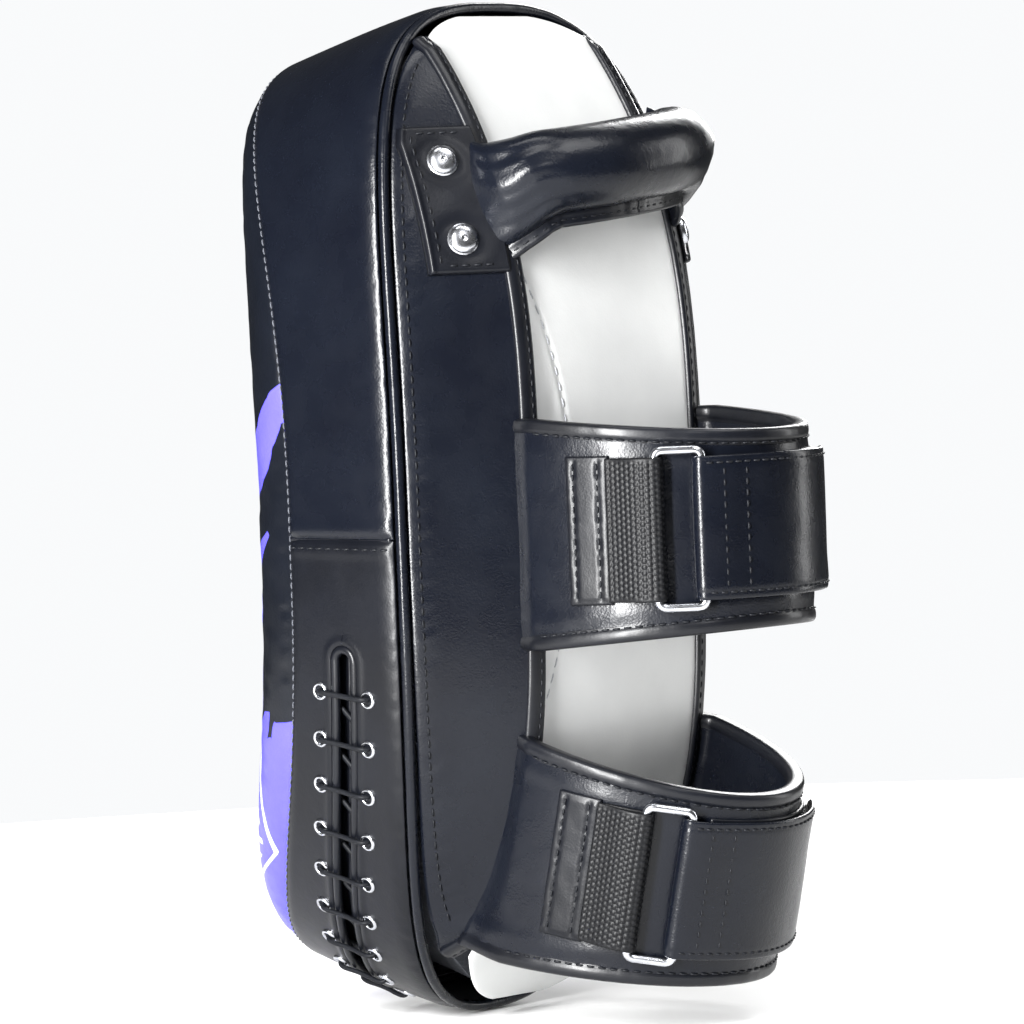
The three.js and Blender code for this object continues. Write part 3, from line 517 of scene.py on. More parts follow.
def leather(name, colour, light, roughness, grain=0.03, crinkle=0.1, coat=0.1, tint=None, specular=0.2):
    paint = Paint(name, roughness, coat=coat, specular=specular)
    base = paint.tinted(paint.ranged(paint.noise(22, 4), 0, 1, 0.3, 0.75), colour, light)
    if tint:
        base = tint(paint, base)
    # sharp edges are lightened here, a painted highlight along the leather's edges
    paint.set(Base_Color=paint.edge_highlight(base, linear(light)))
    paint.set(Roughness=paint.ranged(paint.noise(90, 5), roughness - 0.07, roughness + 0.09))
    paint.bumps((paint.noise(210, 4, Distortion=0.6), crinkle), (paint.cells(1150), grain),
                (paint.noise(2600, 2), grain * 0.35))
    return paint.material


def print_tint(paint, base):
    """The face's violet strokes and light marks, from the distances stored on its points."""
    ink = paint.tinted(paint.ranged(paint.noise(16, 3), 0, 1, 0.3, 0.7), "#4540b6", "#504bc6")
    for name, colour in (("violet", ink), ("marks", linear("#c3c9da"))):
        inside = paint.node("ShaderNodeAttribute", attribute_name=name).outputs["Fac"]
        base = paint.mixed(paint.ranged(inside, 0, 1, -0.2, 0.2), base, colour)
    return base


def cloth(name, colour, light, scale, depth, sheen=0.1, rough=(0.62, 0.88)):
    paint = Paint(name, rough[0], sheen=sheen, specular=0.18)
    fuzz = paint.noise(scale, 4)
    paint.set(Base_Color=paint.tinted(paint.ranged(fuzz, 0, 1, 0.35, 0.65), colour, light))
    paint.set(Roughness=paint.ranged(paint.noise(scale / 3, 3), *rough))
    paint.bumps((fuzz, depth), (paint.noise(scale * 2.7, 2), depth * 0.4))
    return paint.material


def plated(name, colour, dull, roughness):
    paint = Paint(name, roughness, metallic=1.0)
    smears = paint.noise(160, 5)
    paint.set(Base_Color=paint.tinted(smears, colour, dull))
    paint.set(Roughness=paint.ranged(smears, roughness * 0.6, roughness * 1.9))
    paint.bumps((paint.noise(420, 3), 0.012))
    return paint.material


def foam_rubber(name, colour, light):
    paint = Paint(name, 0.92)
    pores = paint.cells(900)
    paint.set(Base_Color=paint.tinted(pores, colour, light))
    paint.set(Roughness=paint.ranged(paint.noise(200), 0.85, 0.97))
    paint.bumps((pores, 0.12))
    return paint.material


gloss = leather("gloss_black_leather", "#070910", "#0c0f16", 0.27, crinkle=0.12, grain=0.05)
matte = leather("matte_black_leather", "#06070b", "#0a0c12", 0.38, coat=0.06)
trim = leather("trim_leather", "#06070b", "#0d0f15", 0.36, grain=0.025, crinkle=0.04, specular=0.25)
face = leather("printed_face", "#07090e", "#0d1017", 0.33, grain=0.035, tint=print_tint)
white = leather("off_white_leather", "#c3c4c4", "#d1d2d1", 0.42, grain=0.02, crinkle=0.04)
tape = cloth("webbing", "#040405", "#0d0e11", 1500, 0.04, sheen=0.0, rough=(0.36, 0.52))
loops = cloth("hook_and_loop", "#040405", "#101013", 2200, 0.22, sheen=0.25)
cord = cloth("lace", "#050609", "#101217", 1800, 0.08, sheen=0.0, rough=(0.45, 0.65))
thread = cloth("thread", "#08090c", "#15171c", 3000, 0.03, sheen=0.0, rough=(0.4, 0.6))
# grey thread colour: a painted highlight, lighter than the black thread of the seam
highlight_grey_thread = cloth("highlight_grey_thread", "#34363c", "#5a5c63", 3000, 0.03)
pale_thread = cloth("pale_thread", "#8f9196", "#b4b6ba", 3000, 0.03)
chrome = plated("chrome", "#dfe1e6", "#9b9da3", 0.2)
foam = foam_rubber("foam", "#24262b", "#3a3d44")
rope = cloth("rope_core", "#8a8272", "#a39a88", 900, 0.15)


# ---- struck face ----
FACE_GRID = (104, 600)
# brush strokes: path, half widths along it, seed, how ragged each end is, how dry it runs
STROKES = [
    ([(104, 152), (84, 120), (40, 88), (-2, 44), (-14, -6)], [7, 21, 36, 33, 24], 11, (5, 13), 0.8),
    ([(140, 74), (92, 62), (52, 22), (36, -48), (34, -96)], [14, 26, 33, 30, 36], 23, (5, 6), 0.3),
    ([(128, 22), (88, -22), (62, -80), (48, -130)], [8, 22, 34, 44], 37, (4, 4)),
    ([(-132, -118), (-76, -136), (-20, -138), (40, -122), (140, -92)], [8, 19, 36, 52, 62], 41, (5, 4)),
]
GAPS = [
    ([(38, 66), (24, 26), (10, -22), (2, -40)], [1.5, 7, 9, 5], 53, (3, 8)),
    ([(132, 118), (100, 84), (78, 40)], [15, 6, 2], 61, (3, 5)),
    ([(140, 34), (106, 16), (84, -34), (76, -62)], [10, 6, 4, 2], 67, (4, 6)),
    ([(136, -40), (108, -62), (92, -96)], [12, 8, 2], 71, (4, 4)),
    ([(66, 44), (52, 8), (46, -12)], [1, 2.6, 1], 79, (3, 5)),
]
SLIVERS = [
    ([(118, 128), (104, 112)], [5, 3], 83, (2, 3)),
    ([(-20, 78), (-28, 62), (-30, 50)], [1, 3, 1], 89, (2, 3)),
]
EDGE_STROKES = [  # the same, over distance in from the seam and height
    ([(72, 98), (46, 116), (22, 134)], [13, 11, 4], 111, (1, 3)),
    ([(44, 6), (20, 24), (6, 42), (-6, 50)], [10, 8, 6, 5], 121, (1, 1)),
    ([(34, -22), (20, -9), (13, -4)], [3, 2, 0.8], 131, (1, 2)),
]
FOOT = [(-150, -148), (-60, -158), (40, -120), (150, -90), (150, -230), (-150, -230)]
BLACK_EDGE = Sizes(reach=26, low=-76, high=160)  # how far in from the seam the side stays black
MARKS = Sizes(x=46, top=92, pitch=29, count=6, half=16, rise=9, bar=13)
PANEL = Sizes(x=(22, 78), z=(-160, -104), lean=9, line=1.1, bar=3.4, gap=5.4)


def stroke(x, z, path, halves, seed, ragged, dry=0.0):
    """Distance inside a brush stroke: ragged ends, wavering sides and dry streaks."""
    path = np.asarray(path, float)
    starts = run_along(path)
    best = np.full(x.shape, 1e9)
    along, off = np.zeros_like(x), np.zeros_like(x)
    for i, length in enumerate(np.linalg.norm(np.diff(path, axis=0), axis=1)):
        way = (path[i + 1] - path[i]) / length
        dx, dz = x - path[i, 0], z - path[i, 1]
        low = -1e3 if i == 0 else 0
        high = 1e3 if i == len(path) - 2 else length
        run = np.clip(dx * way[0] + dz * way[1], low, high)
        away = np.hypot(dx - run * way[0], dz - run * way[1])
        nearer = away < best
        best = np.where(nearer, away, best)
        along = np.where(nearer, starts[i] + run, along)
        off = np.where(nearer, dx * way[1] - dz * way[0], off)
    half = np.interp(along, starts, halves)
    half = half + 1.6 * ripple(along / 13, seed) + 0.6 * ripple(along / 4.1, seed + 1)
    first = ragged[0] * (ripple(off / 5.5, seed + 2) + 0.5 * ripple(off / 1.9, seed + 3))
    last = starts[-1] + ragged[1] * (ripple(off / 5, seed + 4) + 0.6 * ripple(off / 1.7, seed + 5))
    inside = np.minimum(half - best, np.minimum(along - first, last - along))
    if dry:
        bristle = ripple(off / 2.6, seed + 6) + 0.35 * ripple(along / 45, seed + 7)
        strength = smooth((along / starts[-1] - 0.45) / 0.55) * dry
        inside = np.minimum(inside, (0.75 - bristle * strength) * 4)
    return inside


def brushed(x, z, strokes):
    return np.maximum.reduce([stroke(x, z, *row) for row in strokes])


def polygon(x, z, corners):
    """Distance inside a polygon, negative outside."""
    corners = np.asarray(corners, float)
    inside = np.zeros(x.shape, bool)
    near = np.full(x.shape, 1e9)
    for a, b in zip(corners, np.roll(corners, -1, 0)):
        edge = b - a
        t = clamp(((x - a[0]) * edge[0] + (z - a[1]) * edge[1]) / edge.dot(edge))
        near = np.minimum(near, np.hypot(x - a[0] - t * edge[0], z - a[1] - t * edge[1]))
        crosses = (a[1] > z) != (b[1] > z)
        with np.errstate(divide="ignore", invalid="ignore"):
            at = a[0] + (z - a[1]) / (b[1] - a[1]) * edge[0]
        inside ^= crosses & (x < at)
    return np.where(inside, near, -near)


def violet_print(x, z, edge, print_x, print_z):
    """Distance inside the violet. Round the turned +X edge it is black, but for ends of strokes."""
    violet = np.maximum(brushed(print_x, print_z, STROKES), polygon(print_x, print_z, FOOT))
    violet = np.minimum(violet, -brushed(print_x, print_z, GAPS))
    violet = np.maximum(violet, brushed(print_x, print_z, SLIVERS))
    black = BLACK_EDGE.reach + 3 * ripple(z / 17, 101) + 1.5 * ripple(z / 4.3, 102) - edge
    low = z - BLACK_EDGE.low - 3 * ripple(edge / 5, 103)
    black = np.minimum(black, np.minimum(low, BLACK_EDGE.high - z))
    turned = x > 40
    violet = np.where(turned, np.minimum(violet, -black), violet)
    return np.maximum(violet, np.where(turned, brushed(edge, z, EDGE_STROKES), -50))


def light_marks(x, z):
    """A column of plain chevrons, and below it a leaning frame of slanted bars."""
    shapes = []
    left, right = MARKS.x - MARKS.half, MARKS.x + MARKS.half
    for i in range(MARKS.count):
        top = MARKS.top - i * MARKS.pitch
        low = top - MARKS.rise
        shapes.append(polygon(x, z, [
            (left, low), (MARKS.x, top), (right, low), (right, low - MARKS.bar),
            (MARKS.x, top - MARKS.bar), (left, low - MARKS.bar)]))
    (left, right), (low, high) = PANEL.x, PANEL.z
    corners = [(left, low), (right, low), (right, high), (left, high)]
    inside = polygon(x, z, [(px, pz + (px - left) / (right - left) * PANEL.lean) for px, pz in corners])
    slant = (x - left) * 0.8 + (z - low)
    bars = PANEL.bar / 2 - np.abs((slant / (2 * PANEL.gap)) % 1 - 0.5) * 2 * PANEL.gap
    return np.maximum.reduce([*shapes, PANEL.line - np.abs(inside), np.minimum(bars * 0.78, inside - 7)])


def add_strike_face():
    rings = (1 - (1 - np.linspace(0.01, 1, FACE_GRID[0])) ** 1.75)[:, None]
    lengths = np.linspace(0, AROUND, FACE_GRID[1], endpoint=False)
    points, rise = strike_surface(angle_at(lengths)[None], rings)
    x, z = points[..., 0], points[..., 2]
    normals = unit(np.cross(np.gradient(points, axis=0), np.roll(points, -1, 1) - np.roll(points, 1, 1)))
    flip = np.sign(((points - (0.0, -70.0, 0.0)) * normals).sum(-1, keepdims=True))
    normals = normals * np.where(flip == 0, 1, flip)
    edge = np.linalg.norm(points - points[-1:], axis=-1)
    wrinkle = 0.26 * crease(lengths / 13, edge / 7, 9) + 0.2 * crease(lengths / 5.2, edge / 9, 10)
    pucker = ripple(lengths / 3.4, 12) * bell((edge - 4.5) / 3.2)
    relief = wrinkle * bell((edge - 20) / 13) + 0.22 * pucker + 0.5 * crease(x / 47, z / 58, 14)
    relief = relief * smooth(edge / 2)
    turn = 1 + 0.85 * np.clip(CROWN.height - rise, 0, 60) / np.maximum(np.hypot(x, z), 20)
    points = points + normals * relief[..., None]
    tuck = points[-1] + np.array([0, 2.2, 0]) - unit(points[-1] * (1, 0, 1)) * 1.5
    flat, faces = grid(np.concatenate([points, tuck[None]]), closed_columns=True)
    columns = points.shape[1]
    faces += [[len(flat), (i + 1) % columns, i] for i in range(columns)]
    made = piece("strike_face", (np.vstack([flat, points[0].mean(0)]), faces), face,
                 "strike_face_cover", thick=1.4)
    violet = violet_print(x, z, edge, x * turn, z * turn)
    for name, values in (("violet", violet), ("marks", light_marks(x * turn, z * turn))):
        values = np.concatenate([values.ravel(), values[-1], [values[0].mean()]])
        stored = made.data.attributes.new(name, "FLOAT", "POINT")
        stored.data.foreach_set("value", values.astype(np.float32))


# ---- sides, lacing and piping ----
EYELET_PROFILE = [  # radius, height
    (EYELET.hole, -1.6), (EYELET.hole, 0.5), (2.5, 0.95), (2.9, 1.05), (3.35, 0.8),
    (EYELET.radius, 0.3), (EYELET.radius, -0.2), (3.0, -0.6)]


def slot_distance(length, share, width):
    """Distance on the side from the lacing slot's edge, negative inside the slot."""
    centred = (np.asarray(length) + AROUND / 2) % AROUND - AROUND / 2
    beyond = np.maximum(np.abs(centred) - (SLOT_LENGTH - SLOT.half), 0)
    return np.hypot(beyond, np.abs(share - 0.5) * width) - SLOT.half


def eyelet_spots(side):
    lengths = np.linspace(-EYELET_LENGTH, EYELET_LENGTH, EYELET.rows)
    share = 0.5 + side * EYELET.spread / side_width(lengths)
    return side_point(lengths, share), side_surface(lengths, share)[1]


def between(low, high, columns):
    """Shares from low to high, closer together at both ends."""
    t = np.linspace(0, 1, columns)
    t = 0.65 * smooth(t) + 0.35 * t
    return low[:, None] + (high - low)[:, None] * t


def add_sides():
    near = np.linspace(0.25, 8, 22)
    rows = np.linspace(SIDE_SEAM + 0.25, SIDE_SEAMS[1] - 0.25, 460)
    rows = np.unique(np.concatenate([rows, SIDE_SEAM + near, SIDE_SEAMS[1] - near]))
    width = side_width(rows)
    upper = side_point(rows[:, None], between(0.3 / width, 1 - 2.5 / width, 44))
    piece("side_upper", grid(upper), gloss, "gusset_upper", thick=1.4)

    rows = np.linspace(-SIDE_SEAM + 0.25, SIDE_SEAM - 0.25, 560)
    ends = SLOT_LENGTH - SLOT.half * (1 - np.cos(np.linspace(0, math.pi / 2, 18)))
    rows = np.unique(np.concatenate([rows, ends, -ends, SIDE_SEAM - near, near - SIDE_SEAM]))
    width = side_width(rows)
    reach = np.clip(SLOT_LENGTH - np.abs(rows), 0, SLOT.half)
    half = np.sqrt(SLOT.half ** 2 - (SLOT.half - reach) ** 2)  # of the slot's width
    sheets = []
    for side in (-1, 1):
        rim = 0.5 + side * half / width
        shares = between(0.3 / width if side < 0 else 1 - 2.5 / width, rim, 26)
        lift = 0.55 * bell((slot_distance(rows[:, None], shares, width[:, None]) - 1.6) / 1.5)
        sheet = side_point(rows[:, None], shares, lift)
        fade = smooth(half / 2)
        tucks = [side_point(rows, rim - side * 0.12 * depth * fade / width, (0.15 - depth) * fade)
                 for depth in (0.5, 1.6, 3.2)]
        sheets.append(grid(np.concatenate([sheet, np.stack(tucks, 1)], 1)))
    piece("side_lower", joined(sheets), matte, "gusset_lower", weld=0.02, thick=1.2)


def add_side_seams():
    share = np.linspace(0.03, 0.93, 60)
    for (side, _), seam in zip(SIDES, SIDE_SEAMS):
        path, normals, _ = side_surface(np.full_like(share, seam), share)
        piece(f"side_seam_{side}", tube(path + normals * 1.1, 1.5, 10, normals=normals), trim)
        sewn = stitch_run(side_point(np.full_like(share, seam - 3.4), share), normals)
        piece(f"side_seam_{side}_stitches", sewn, thread)
    lengths = np.linspace(0, AROUND, 900)
    point, normal, width = side_surface(lengths, np.zeros_like(lengths))
    sewn = stitch_run(side_point(lengths, 1.3 / width), normal, pitch=3.6, radius=0.3)
    # the front seam's stitches use the grey thread, a painted highlight on black thread
    piece("front_seam_stitches", sewn, highlight_grey_thread)
    groove = point + np.array([0, 0.4, 0]) - normal * 0.3
    piece("front_seam_welt", tube(groove[:-1], 0.9, 8, closed=True), trim)


def rounded_path(points):
    """Corner cutting, which rounds a path's bends."""
    points = np.asarray(points)
    for _ in range(3):
        a, b = points[:-1], points[1:]
        cut = np.stack([a * 0.75 + b * 0.25, a * 0.25 + b * 0.75], 1).reshape(-1, 3)
        points = np.vstack([points[:1], cut, points[-1:]])
    return points


def add_lacing():
    rows = [eyelet_spots(side) for side in (-1, 1)]
    for name, (spots, normals) in zip(("front", "back"), rows):
        piece(f"eyelets_{name}", flared_ring(spots, normals, EYELET_PROFILE), chrome, f"eyelet_row_{name}")
    route = []
    for f, nf, b, nb in zip(*rows[0], *rows[1]):
        route += [f - nf * 3.4, f + nf * 0.6, f + nf * 2.5 + (b - f) * 0.08,
                  (f + b) / 2 + unit(nf + nb) * 1.5,
                  b + nb * 2.5 + (f - b) * 0.08, b + nb * 0.6, b - nb * 3.4]
    route = rounded_path(route)
    normals = unit(route * (1.0, 0.0, 1.0))
    piece("lace_cord", tube(route, 1.2, 10, normals=normals, flat=0.8), cord, "lace")

    lengths = np.linspace(-SLOT_LENGTH + 1, SLOT_LENGTH - 1, 420)
    across = np.linspace(-12, 12, 41)
    folds = 1.5 * bell((np.abs(across) - 1.9) / 0.9)
    lift = -5.2 + folds + 0.25 * crease(lengths[:, None] / 9, across / 5, 21)
    point, normal, _ = side_surface(lengths[:, None], 0.5 + across / side_width(lengths)[:, None])
    piece("tongue", grid(point + normal * (lift + 3.0)[..., None]), matte, "lacing_tongue", thick=1.0)


def add_slot_hem():
    """The rolled hem that lines the lacing slot, one closed loop round both of its ends."""
    inner = SLOT.half - 1.7
    straight = SLOT_LENGTH - SLOT.half
    turn = np.linspace(0, math.pi, 26)[1:-1]
    run = np.linspace(-straight, straight, 420)
    bow, side = inner * np.sin(turn), np.full(420, inner)
    lengths = np.concatenate([run, straight + bow, run[::-1], -straight - bow])
    across = np.concatenate([-side, -inner * np.cos(turn), side, inner * np.cos(turn)])
    share = 0.5 + across / side_width(lengths)
    normals = side_surface(lengths, share)[1]
    path = side_point(lengths, share, -0.9)
    piece("slot_hem", tube(path, 1.75, 12, closed=True, normals=normals), trim)


def add_back_piping():
    lengths = np.linspace(0, AROUND, 720, endpoint=False)
    radius = PIPING_RADIUS * (0.92 + 0.025 * ripple(lengths / 4.3, 31))
    path = seam_point(BACK_SEAM, angle_at(lengths))
    piece("edge_piping", tube(path, radius, 14, closed=True), gloss, "back_piping")


# ---- forearm side ----
PANEL_ARC = Sizes(edge=49, bow=23, z=9, reach=92, power=1.15)
RIVET_PROFILE = [  # radius, height
    (0.02, 2.5), (1.4, 2.45), (2.8, 2.3), (4.1, 1.95), (5.0, 1.35), (5.5, 0.55), (5.6, 0.1),
    (6.1, 0.0), (6.2, -0.3), (5.0, -0.6), (0.02, -0.6)]


def back_points(x, z, lift=0.0):
    """The forearm side's leather, where it stands off the CAD's surface."""
    edge = (outline_half(z) - np.abs(x)) / outline_stretch(z, 400)
    relief = 2.0 * fillet(edge - 2.2, 8) - 0.9
    relief = relief + 0.2 * bell((edge - 6.5) / 2.6) * ripple((z + 0.6 * x) / 3.1, 33)
    relief = relief + 0.25 * crease(x / 21, z / 26, 34)
    point, normal = back_frame(x, z)
    return point + normal * np.asarray(relief + lift)[..., None]


def dense_ends(low, high, count):
    t = np.linspace(0, 1, count)
    return mix(low, high, 0.5 * smooth(t) + 0.5 * t)


def span_where(width, count):
    """Heights between the outline's two narrowings to a width."""
    up = np.linspace(0, HALF_LENGTH, 4000)
    return dense_ends(*(sign * up[np.argmax(outline_half(sign * up) < width)] for sign in (-1, 1)), count)


def arc_x(z):
    """Where the forearm panel's sewn arc runs."""
    share = clamp(1 - ((z - PANEL_ARC.z) / PANEL_ARC.reach) ** 2)
    return PANEL_ARC.edge - PANEL_ARC.bow * share ** PANEL_ARC.power


def add_slope(side, sign):
    rows = span_where(SLOPE_INNER + 4.5, 300)
    outer = np.maximum(outline_half(rows) - 2.0 * outline_stretch(rows, 9), SLOPE_INNER + 0.3)
    share = between(np.zeros(1), np.ones(1), 46)
    x = sign * (SLOPE_INNER + (outer - SLOPE_INNER)[:, None] * share)
    z = np.broadcast_to(rows[:, None], x.shape)
    piece(f"slope_{side}", grid(back_points(x, z)), gloss, f"back_panel_{side}", thick=1.3)


def add_slope_stitches(side, sign):
    z = span_where(SLOPE_INNER + 4.5, 500)
    x = sign * (outline_half(z) - 5.4 * outline_stretch(z, 9))
    keep = np.abs(x) > RAIL_X + 7
    path, normals = back_points(x[keep], z[keep], 0.1), back_frame(x[keep], z[keep])[1]
    piece(f"slope_stitches_{side}", stitch_run(path, normals, pitch=4.6), thread)


def add_forearm_panel():
    ends = 26 * np.linspace(0, 1, 40) ** 1.6
    rows = np.concatenate([-191 + ends, np.linspace(-163, 163, 200), 191.5 - ends[::-1]])
    half = np.minimum(RAIL_X - 0.8, outline_half(rows, 2.6))
    x = half[:, None] * np.linspace(-1, 1, 96)
    z = np.broadcast_to(rows[:, None], x.shape)
    point, normal = back_frame(x, z)
    point[..., 1] = forearm_y(z)
    ends = fillet(np.minimum(HALF_LENGTH - np.abs(z) - 2, 30), 9)
    sides = fillet(half[:, None] - np.abs(x), 5)
    past = x - arc_x(z)
    live = smooth((PANEL_ARC.reach - np.abs(z - PANEL_ARC.z)) / 8)
    relief = 1.1 * np.minimum(ends, 0.35 + 0.65 * sides) - 0.7 - 0.45 * bell(past / 1.3) * live
    relief = relief + 0.45 * crease(z / 15 + x / 30, x / 9, 41) * smooth(clamp(past / 14) * 2) * live
    relief = relief + 0.12 * crease(x / 33, z / 41, 42)
    shape = grid(point + unit(normal * (0, 1, 1)) * relief[..., None])
    piece("forearm_leather", shape, white, "forearm_panel", thick=1.3)
    z = np.linspace(PANEL_ARC.z - PANEL_ARC.reach + 6, PANEL_ARC.z + PANEL_ARC.reach - 3, 240)
    path = np.stack([arc_x(z), forearm_y(z) + 0.05, z], -1)
    normals = np.tile([0.0, 1.0, 0.0], (len(z), 1))
    piece("forearm_stitches", stitch_run(path, normals, pitch=6.2, lift=0.0, radius=0.3), pale_thread)


def add_rail(side, sign):
    z = span_where(RAIL_X + 5.2, 260)
    x = np.full_like(z, sign * RAIL_X)
    point, normal = back_frame(x + sign * 1.5, z)
    point[:, 0] = x
    tilt = unit(normal * (0.45, 1, 1))
    turn = turns(28)
    across = signed_power(np.cos(turn), 0.8) * RAIL_HALF
    rise = signed_power(np.sin(turn), 0.8) * 2.1
    rise = rise - 0.55 * bell((across + 1.6) / 0.9) * (rise > 0)
    sideways = unit(np.cross(tilt, tangents_of(point))) * sign
    sideways = sideways * np.sign(sideways[:, :1] * sign)
    body = point + tilt * 0.9
    wobble = (1 + 0.03 * ripple(z / 7, 45))[:, None, None]
    ring = body[:, None] + sideways[:, None] * across[:, None] + tilt[:, None] * rise[:, None] * wobble
    piece(f"rail_{side}", capped(ring), trim, f"rail_piping_{side}")
    path = body + sideways * -1.6 + tilt * 1.5
    piece(f"rail_stitches_{side}", stitch_run(path, tilt, pitch=4.2, lift=0.0), thread)


def add_tab(side, sign):
    rows = dense_ends(TAB.low, TAB.high, 60)

    def outer_at(z):
        return np.minimum(TAB.outer, outline_half(z) - PIPING_RADIUS - 1.5)

    outer = outer_at(rows)
    share = smooth(np.linspace(0, 1, 40)) * 0.6 + 0.4 * np.linspace(0, 1, 40)
    reach = TAB.inner + (outer - TAB.inner)[:, None] * share
    z = np.broadcast_to(rows[:, None], reach.shape)
    from_outer = outer[:, None] - reach
    from_edge = np.minimum(from_outer, np.minimum(z - TAB.low, TAB.high - z))
    lift = 2.6 * fillet(from_edge, 1.5) + 0.1 + 0.7 * bell((from_outer - 1.5) / 0.8)
    for spot in RIVET_SPOTS.values():
        lift = lift - 0.5 * bell((np.hypot(reach - spot[0], z - spot[1]) - 6.5) / 2.4)
    lift = lift + 0.14 * crease(reach / 8, z / 8, 47)
    piece(f"tab_{side}", grid(back_points(sign * reach, z, lift)), matte, f"handle_tab_{side}", thick=1.2)
    low, high = TAB.low + TAB.sewn, TAB.high - TAB.sewn
    down = np.linspace(high, low, 60)
    x_down = outer_at(down) - 4.2
    x_line = np.linspace(RAIL_X + 6, x_down.min() - 1, 30)
    lines = [(x_down, down), *((x_line, np.full_like(x_line, level)) for level in (low, high))]
    runs = [stitch_run(back_points(sign * x, z, 2.62), back_frame(sign * x, z)[1]) for x, z in lines]
    piece(f"tab_stitches_{side}", joined(runs), thread)
    for level, spot in RIVET_SPOTS.items():
        x, z = np.array([sign * spot[0]]), np.array([spot[1]])
        shape = flared_ring(back_points(x, z, 2.7), back_frame(x, z)[1], RIVET_PROFILE, 36)
        piece(f"rivet_cap_{level}_{side}", shape, chrome, f"rivet_{level}_{side}")


# ---- handle ----
GRIP = Sizes(straight=36, gathers=11, flange=7, flange_thick=1.7)
GRIP_END = np.array([[36, 5.77], [46, 0.6], [52, -8], [54, -20]])  # bezier of x and y
GRIP_SIZES = {  # along the bent end: the share, and the grip's half sizes there
    "share": [0, 0.3, 0.6, 0.85, 1],
    "up": [16.2, 16.8, 19.0, 22.0, 23.0],
    "out": [16.2, 15.6, 12.5, 7.0, 3.4],
    "in": [16.2, 12.0, 7.0, 3.2, 1.8],
}


def grip_path(sign):
    """The grip's centreline from the middle to one end, and its share along the bent end."""
    straight = np.linspace(0, GRIP.straight, 60)
    bend = np.linspace(0, 1, 66)[1:]
    t = bend[:, None]
    a, b, c, d = GRIP_END
    curve = (1 - t) ** 3 * a + 3 * (1 - t) ** 2 * t * b + 3 * (1 - t) * t * t * c + t ** 3 * d
    x = sign * np.concatenate([straight, curve[:, 0]])
    y = HANDLE.mid - (HANDLE.mid - HANDLE.end) * (np.abs(x) / HANDLE.half) ** HANDLE.bow
    path = np.stack([x, y, HANDLE.z - HANDLE.tilt * x / HANDLE.half], -1)
    path[len(straight):, 1] = curve[:, 1]
    path[len(straight):, 2] -= 7.5 * smooth(bend)
    return path, np.concatenate([0 * straight, bend])


def grip_piece(name, side, shape, material, node=None):
    """A piece of the grip, attached to no body, with its placement baked into its points."""
    made = piece(f"{name}_{side}", shape, material, node, body=None)
    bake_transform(made)


def add_grip(side, sign):
    path, bent = grip_path(sign)
    tangents = tangents_of(path)
    up = unit(np.array([0.0, 0.0, 1.0]) - tangents * tangents[:, 2:])
    out = np.cross(up, tangents) * sign
    turn = turns(160)
    sizes = {key: np.interp(bent, GRIP_SIZES["share"], row)[:, None] for key, row in GRIP_SIZES.items()}
    depth = np.where(np.sin(turn) > 0, sizes["out"], sizes["in"])
    along = run_along(path)[:, None]
    gathers = ripple(turn * GRIP.gathers / TAU * 2 + 0.5 * ripple(along / 11, 51), 52)
    fold = smooth((along - 34) / 14) * (1 - 0.7 * smooth((along - 60) / 8))
    wave = 0.9 * gathers * fold + 0.06 * crease(along / 13, turn * 2, 53)
    wave = (wave + 0.04 * crease(along / 3, turn * 6, 54)) * smooth((along[-1] - along) / 4)
    seam = bell((turn - 1.5 * math.pi) / 0.1)
    ring = up[:, None] * (np.cos(turn) * (sizes["up"] + wave))[..., None]
    ring = ring + out[:, None] * (np.sin(turn) * (depth + wave - 0.6 * seam))[..., None]
    node = "handle_cover" if side == "right" else None
    grip_piece("grip", side, grid(path[:, None] + ring, closed_columns=True), gloss, node)

    flange = path - up * (sizes["up"] + GRIP.flange / 2 - 1.6) + out * 1.0
    keep = bent < 0.82
    flange, up, out, along = flange[keep], up[keep], out[keep], along[keep]
    turn = turns(30)
    wide = signed_power(np.cos(turn), 0.6) * GRIP.flange / 2
    deep = signed_power(np.sin(turn), 0.8) * GRIP.flange_thick
    deep = deep * (1 - 0.45 * bell((wide + 0.6) / 0.8))
    wavy = 1 + 0.12 * crease(along / 4.1, np.zeros((1, 1)), 56)
    ring = up[:, None] * wide[None, :, None] + out[:, None] * (deep * wavy)[..., None]
    grip_piece("grip_flange", side, capped(flange[:, None] + ring), trim)
    sewn = stitch_run(flange - up * 0.6 + out * 1.0, out, pitch=4.3, lift=0.0)
    grip_piece("grip_stitches", side, sewn, thread)


# ---- forearm straps ----
FACE = STRAP.thick / 2 + 0.3  # the cuff's outer face, out from the strap's middle
TAPE = Sizes(half=0.6, turn=2.7, column=2.1, dash=2.3, depth=0.42)
TAIL_HALF = 0.8  # half thickness of the tail's and the ring tab's leather
LEG_ROWS, ARC_ROWS = 10, 110
LEG_DROP = 5  # how far past the forearm panel the legs reach down its side
LEG_TUCK = 3.8  # how far the legs' feet lean in to the rail they are sewn to


def strap_spot(degrees, offset):
    """A point in the strap's own plane, at an angle and an offset out from its middle."""
    a = np.radians(degrees)
    curve = np.stack([STRAP.half_width * np.cos(a), STRAP.leg + STRAP.rise * np.sin(a)], -1)
    normal = unit(np.stack([STRAP.rise * np.cos(a), STRAP.half_width * np.sin(a)], -1))
    return curve + normal * np.asarray(offset)[..., None]


def strap_to_pad(strap, spot, height):
    """The strap's own axes to the pad's."""
    at = STRAPS[strap]
    c, s = math.cos(math.radians(at.tilt)), math.sin(math.radians(at.tilt))
    x, rise, height = np.broadcast_arrays(spot[..., 0], spot[..., 1], height)
    return np.stack([x, rise * c - height * s + at.y, rise * s + height * c + at.z], -1)


